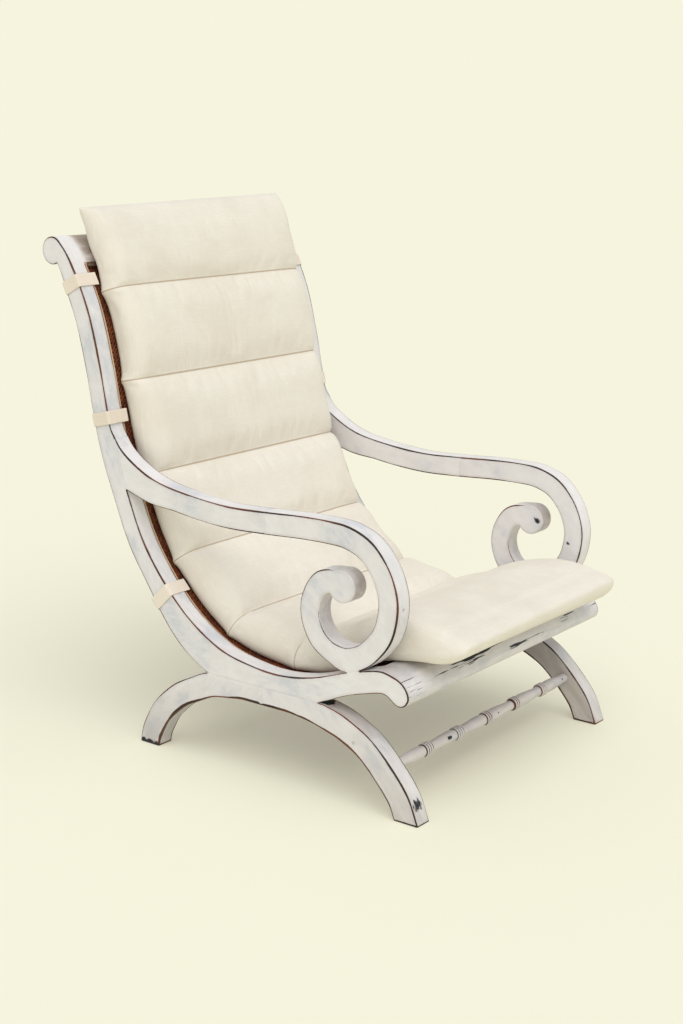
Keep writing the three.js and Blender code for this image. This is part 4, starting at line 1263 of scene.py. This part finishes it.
def pad_mesh():
    """The pad as rings across it: its mesh, the points in a ring, and where along the pad each ring lies."""
    shares = pad_stations()
    vertices, seam_gap = [], []
    for share in shares:
        plump = pad_thickness(np.array(share), np.array(0.2))[1]
        drawn_in = PAD_PULL * plump if share < pad_seams[-1] else PAD_PULL * 0.6
        corner = max(0.0, 1 - (1 - share) * pad_length / PAD_CORNER)
        half_width = PAD_HALF_WIDTH - drawn_in - PAD_CORNER * (1 - math.sqrt(1 - corner**2)) * 0.6
        edge_x = [-half_width + PAD_ROUND * (1 - math.cos(math.pi / 2 * k / PAD_EDGE_POINTS))
                  for k in range(PAD_EDGE_POINTS + 1)]
        middle_x = list(np.linspace(edge_x[-1], -edge_x[-1], PAD_FLAT_POINTS + 1)[1:-1])
        top_x = np.array(edge_x + middle_x + [-x for x in reversed(edge_x)])
        from_side = half_width - np.abs(top_x)
        swell, under_swell = (np.sqrt(np.clip(1 - (1 - np.clip(from_side / reach, 0, 1)) ** 2, 0, 1))
                              for reach in (PAD_ROUND, PAD_ROUND_UNDER))
        thick = pad_thickness(np.full(len(top_x), share), from_side)[0]
        front_gap = (1 - share) * pad_length
        tip_gap = min(front_gap, share * pad_length) / PAD_TIP
        turned_up = (PAD_TIP - 0.002) * (1 - math.sqrt(1 - max(0.0, 1 - tip_gap) ** 2))
        middle_level = turned_up + 0.30 * (thick - turned_up)
        top_level = middle_level + (thick - middle_level) * swell
        under_level = turned_up + (middle_level - turned_up) * (1 - under_swell)
        index = share * (len(pad_under) - 1)
        close, calm, out, ahead = (np.array([np.interp(index, np.arange(len(pad_under)), way[:, k])
                                             for k in (0, 1)])
                                   for way in (pad_under, pad_calm, pad_out, pad_ahead))
        from_top = 1 - np.clip(share * pad_length / STAND_REACH, 0, 1)
        from_front = 1 - np.clip(front_gap / CURL_REACH, 0, 1)
        sagging = math.exp(-(((front_gap - SAG_PLACE) / SAG_SPREAD) ** 2))
        under_level -= (SAG + SAG_LEFT * top_x / PAD_HALF_WIDTH) * sagging * under_swell
        for x, level in list(zip(top_x, top_level)) + list(zip(top_x[-2:0:-1], under_level[-2:0:-1])):
            leftward = x / PAD_HALF_WIDTH
            base = close + (calm - close) * min(1, max(level, 0) / PAD_SEAM_END)
            lift = level + (STAND_OFF + STAND_OFF_LEFT * leftward) * from_top ** 1.5 + CURL * from_front ** 2
            up = (STAND_UP + STAND_UP_LEFT * leftward) * from_top ** 2
            over = (HANG + HANG_LEFT * leftward) * max(0.0, 1 - front_gap / HANG_REACH) ** 2
            y, z = base + out * lift - ahead * up - np.array([1, HANG_FALL]) * over
            vertices.append((x - 0.002 * from_top ** 3, y, z))
        seam_gap.append(np.abs(share - pad_seams).min() * pad_length)
    ring = len(vertices) // len(shares)
    faces = ring_faces(len(shares), ring)
    for start, flip in ((0, False), ((len(shares) - 1) * ring, True)):
        for k in range(ring // 2):
            quad = (start + k, start + (ring - k) % ring, start + (ring - k - 1) % ring, start + k + 1)
            quad = tuple(dict.fromkeys(quad))
            if len(quad) > 2:
                faces.append(quad if flip else tuple(reversed(quad)))
    mesh = new_mesh("long_cushion", vertices, faces)
    mesh.validate()
    write_values(mesh, "seam_mm", np.repeat(np.array(seam_gap) * 1000, ring))
    return mesh, ring, shares


CLOTH_FRAMES = 16
# How far the cloth may puff out at most: on top, near the sides and underneath
PUFF_TOP, PUFF_SIDE, PUFF_UNDER = 0.007, 0.003, 0.0006


def inflate(piece, ring, shares):
    """Blows the pad up as cloth held at its seams and ends, so that the cotton puckers along them."""
    mesh = piece.data
    held = piece.vertex_groups.new(name="sewn")
    seam_rows = [int(np.abs(shares - seam).argmin()) for seam in pad_seams] + [0, len(shares) - 1]
    held.add([row * ring + k for row in seam_rows for k in range(ring)], 1.0, "REPLACE")
    before = corners_of(mesh).copy()
    cloth = piece.modifiers.new("cotton", "CLOTH")
    cloth.settings.quality = 5
    cloth.settings.mass = 0.25
    cloth.settings.tension_stiffness = 12
    cloth.settings.compression_stiffness = 12
    cloth.settings.shear_stiffness = 4
    cloth.settings.bending_stiffness = 0.25
    cloth.settings.use_pressure = True
    cloth.settings.uniform_pressure_force = 2.5
    cloth.settings.shrink_min = -0.012
    cloth.settings.vertex_group_mass = "sewn"
    cloth.settings.effector_weights.gravity = 0
    cloth.collision_settings.use_collision = False
    cloth.point_cache.frame_start, cloth.point_cache.frame_end = 1, CLOTH_FRAMES
    for number in range(1, CLOTH_FRAMES + 1):
        scene.frame_set(number)
    puffed = piece.evaluated_get(bpy.context.evaluated_depsgraph_get())
    after = corners_of(puffed.data).copy()
    piece.modifiers.remove(cloth)
    scene.frame_set(1)
    move = after - before
    length = np.linalg.norm(move, axis=1)
    on_top = np.tile(np.arange(ring) <= ring // 2, len(shares))
    near_side = np.abs(before[:, 0]) > PAD_HALF_WIDTH - 0.03
    cap = np.where(on_top, np.where(near_side, PUFF_SIDE, PUFF_TOP), PUFF_UNDER)
    gap = np.repeat(np.minimum(shares, 1 - shares) * pad_length, ring)
    cap = cap * (0.05 + 0.95 * np.clip(gap / 0.10, 0, 1) ** 2)
    move *= (cap * np.tanh(length / cap) / np.maximum(length, 1e-9))[:, None]
    mesh.vertices.foreach_set("co", (before + move).astype(np.float32).ravel())
    mesh.update()
    print("cushion cloth: moved", round(float(length.max()) * 1000, 1), "mm at most")


COTTON_THREADS = 900.0
COTTON_CREAM = (0.88, 0.835, 0.74, 1.0)
COTTON_SHADE = (0.835, 0.785, 0.685, 1.0)
COTTON_GAPS = (0.40, 0.32, 0.22, 1.0)
SEAM_DARK = (0.40, 0.28, 0.16, 1.0)


def cotton_weave_group():
    group, w, given = surface_group("cotton_weave", Threads=COTTON_THREADS, Cloth=COTTON_CREAM,
                                    Shade=COTTON_SHADE)
    place = given["Place"]
    threads = []
    for scale in ((1, 0.03, 0.03), (0.03, 1, 1)):
        stretched = w.node("ShaderNodeMapping")
        w.feed(stretched.inputs["Vector"], place)
        stretched.inputs["Scale"].default_value = scale
        noise = w.node("ShaderNodeTexNoise", Detail=1.0, Roughness=0.5)
        w.feed(noise.inputs["Scale"], given["Threads"])
        w.feed(noise.inputs["Vector"], stretched.outputs["Vector"])
        threads.append(noise.outputs["Fac"])
    weave = w.math("MAXIMUM", threads[0], threads[1])
    slub = w.noise(place, 14.0, 3.0, 0.55, seed=2.2)
    blotch = w.noise(place, 3.5, 2.0, 0.5, seed=7.7)
    share = w.math("ADD", w.math("MULTIPLY", slub, 0.5), w.math("MULTIPLY", blotch, 0.5))
    color = w.mix(w.ramp(share, 0.40, 0.62), given["Cloth"], given["Shade"])
    color = w.mix(w.ramp(weave, 0.52, 0.72, 0.10, 0.0), color, COTTON_GAPS)
    put_out(w, color, w.ramp(weave, 0.4, 0.7, 0.92, 0.82), weave)
    return group


cotton_weave = cotton_weave_group()


def cotton(name, threads, cloth, shade, sewn=False):
    """Woven cotton. Where it is sewn, it is dark in the seams and puckered beside them."""
    material, w = new_finish(name)
    place = w.node("ShaderNodeTexCoord").outputs["Object"]
    weave = w.node("ShaderNodeGroup", {"node_tree": cotton_weave}, Place=place, Threads=threads,
                   Cloth=cloth, Shade=shade)
    color, height = weave.outputs["Color"], w.math("MULTIPLY", weave.outputs["Height"], 0.12)
    if sewn:
        gap = attribute(w, "seam_mm")
        dark = w.math("SUBTRACT", 1.0, w.ramp(gap, 0.3, 2.4))
        color = w.mix(w.math("MULTIPLY", dark, 0.75), color, SEAM_DARK)
        pucker = w.noise(place, 95.0, 2.0, 0.5, stretch=(1, 0.22, 0.22), seed=1.1)
        near = w.math("SUBTRACT", 1.0, w.ramp(gap, 2.0, 20.0))
        creases = w.noise(place, 22.0, 3.0, 0.5, seed=3.9)
        height = w.math("ADD", height, w.math("MULTIPLY", w.math("MULTIPLY", pucker, near), 1.6))
        height = w.math("ADD", height, w.math("MULTIPLY", creases, 1.2))
    shader = lay_on(material, w, color, weave.outputs["Roughness"], height, 0.5, 0.0016)
    shader.inputs["Sheen Weight"].default_value = 0.15
    shader.inputs["Specular IOR Level"].default_value = 0.2
    return material


pad_data, pad_ring, pad_shares = pad_mesh()
cushion_cotton = cotton("cream_cotton", COTTON_THREADS, COTTON_CREAM, COTTON_SHADE, sewn=True)
long_cushion = add_piece("long_cushion", pad_data, cushion_cotton, "cushion_cotton", "cushion")
inflate(long_cushion, pad_ring, pad_shares)
smoother = long_cushion.modifiers.new("smooth_cloth", "SUBSURF")
smoother.levels = smoother.render_levels = 1
pad_data.shade_smooth()

# The straps: three flat bands of pale webbing, sewn into the cushion's side seams at three heights. Each goes
# round one post, across the back and round the other post, and holds the cushion in its place.
TAPE_WIDTH = 0.027
TAPE_THICK = 0.0018
TAPE_BEND = 0.0035
TAPE_POINTS = 420
TAPE_THREADS = 700.0
TAPE_CREAM, TAPE_SHADE = (0.90, 0.81, 0.70, 1.0), (0.85, 0.75, 0.64, 1.0)
# The band's cut across, as shares of its width and of its thickness
TAPE_CUT = ((-0.5, 0.0), (-0.47, 0.5), (-0.44, 0.5), (-0.2, 0.5), (0.2, 0.5), (0.44, 0.5), (0.47, 0.5),
            (0.5, 0.0), (0.47, -0.5), (0.0, -0.5), (-0.47, -0.5))
strap_tape = cotton("strap_tape", TAPE_THREADS, TAPE_CREAM, TAPE_SHADE)


def strap(name, node):
    """A tape round both posts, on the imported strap's own lines."""
    places = corners_of(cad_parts[node].data)
    side = places[:, 0].max()
    inside_x = np.abs(places[:, 0]).min()
    outermost = places[:, 1:][places[:, 0] > side - 1e-4]
    centre = outermost.mean(0)
    depth_way = np.linalg.eigh(np.cov((outermost - centre).T))[1][:, 1]
    if depth_way[0] < 0:
        depth_way = -depth_way
    along_way = np.array([-depth_way[1], depth_way[0]])
    depth = (outermost - centre) @ depth_way
    front, back = depth.min() + TAPE_THICK / 2, depth.max() - TAPE_THICK / 2
    side -= TAPE_THICK / 2
    corners = [(-inside_x, front), (-side, front), (-side, back), (side, back), (side, front),
               (inside_x, front)]
    path = [np.array(corners[0])]
    for before, corner, after in zip(corners, corners[1:], corners[2:]):
        before, corner, after = (np.array(v) for v in (before, corner, after))
        into = (before - corner) / np.linalg.norm(before - corner)
        onward = (after - corner) / np.linalg.norm(after - corner)
        for k in range(7):
            angle = math.pi / 2 * k / 6
            path.append(corner + TAPE_BEND * (into * (1 - math.sin(angle)) + onward * (1 - math.cos(angle))))
    path.append(np.array(corners[-1]))
    line = densely(np.array(path), TAPE_POINTS)
    length = gaps_along(line).sum()
    inward_from_tape = chain_frame(line)[1]
    vertices = []
    for point, inside, run in zip(line, inward_from_tape, np.linspace(0, length, TAPE_POINTS)):
        drift = 0.0008 * math.sin(run * 23 + centre[0] * 40)
        for share, level in TAPE_CUT:
            x, into_wood = point - inside * level * TAPE_THICK
            place = centre + depth_way * into_wood + along_way * (share * TAPE_WIDTH + drift)
            vertices.append((x, *place))
    count = len(TAPE_CUT)
    faces = ring_faces(TAPE_POINTS, count, turned=True)
    faces.append(tuple(reversed(range(count))))
    faces.append(tuple(range((TAPE_POINTS - 1) * count, TAPE_POINTS * count)))
    mesh = new_mesh(name, vertices, faces)
    shaped = bmesh.new()
    shaped.from_mesh(mesh)
    bmesh.ops.recalc_face_normals(shaped, faces=shaped.faces)
    shaped.to_mesh(mesh)
    shaped.free()
    tape = add_piece(name, smoothed(mesh), strap_tape, "strap_webbing", node)


for level in ("upper", "middle", "lower"):
    strap(f"tape_{level}", f"strap_{level}")
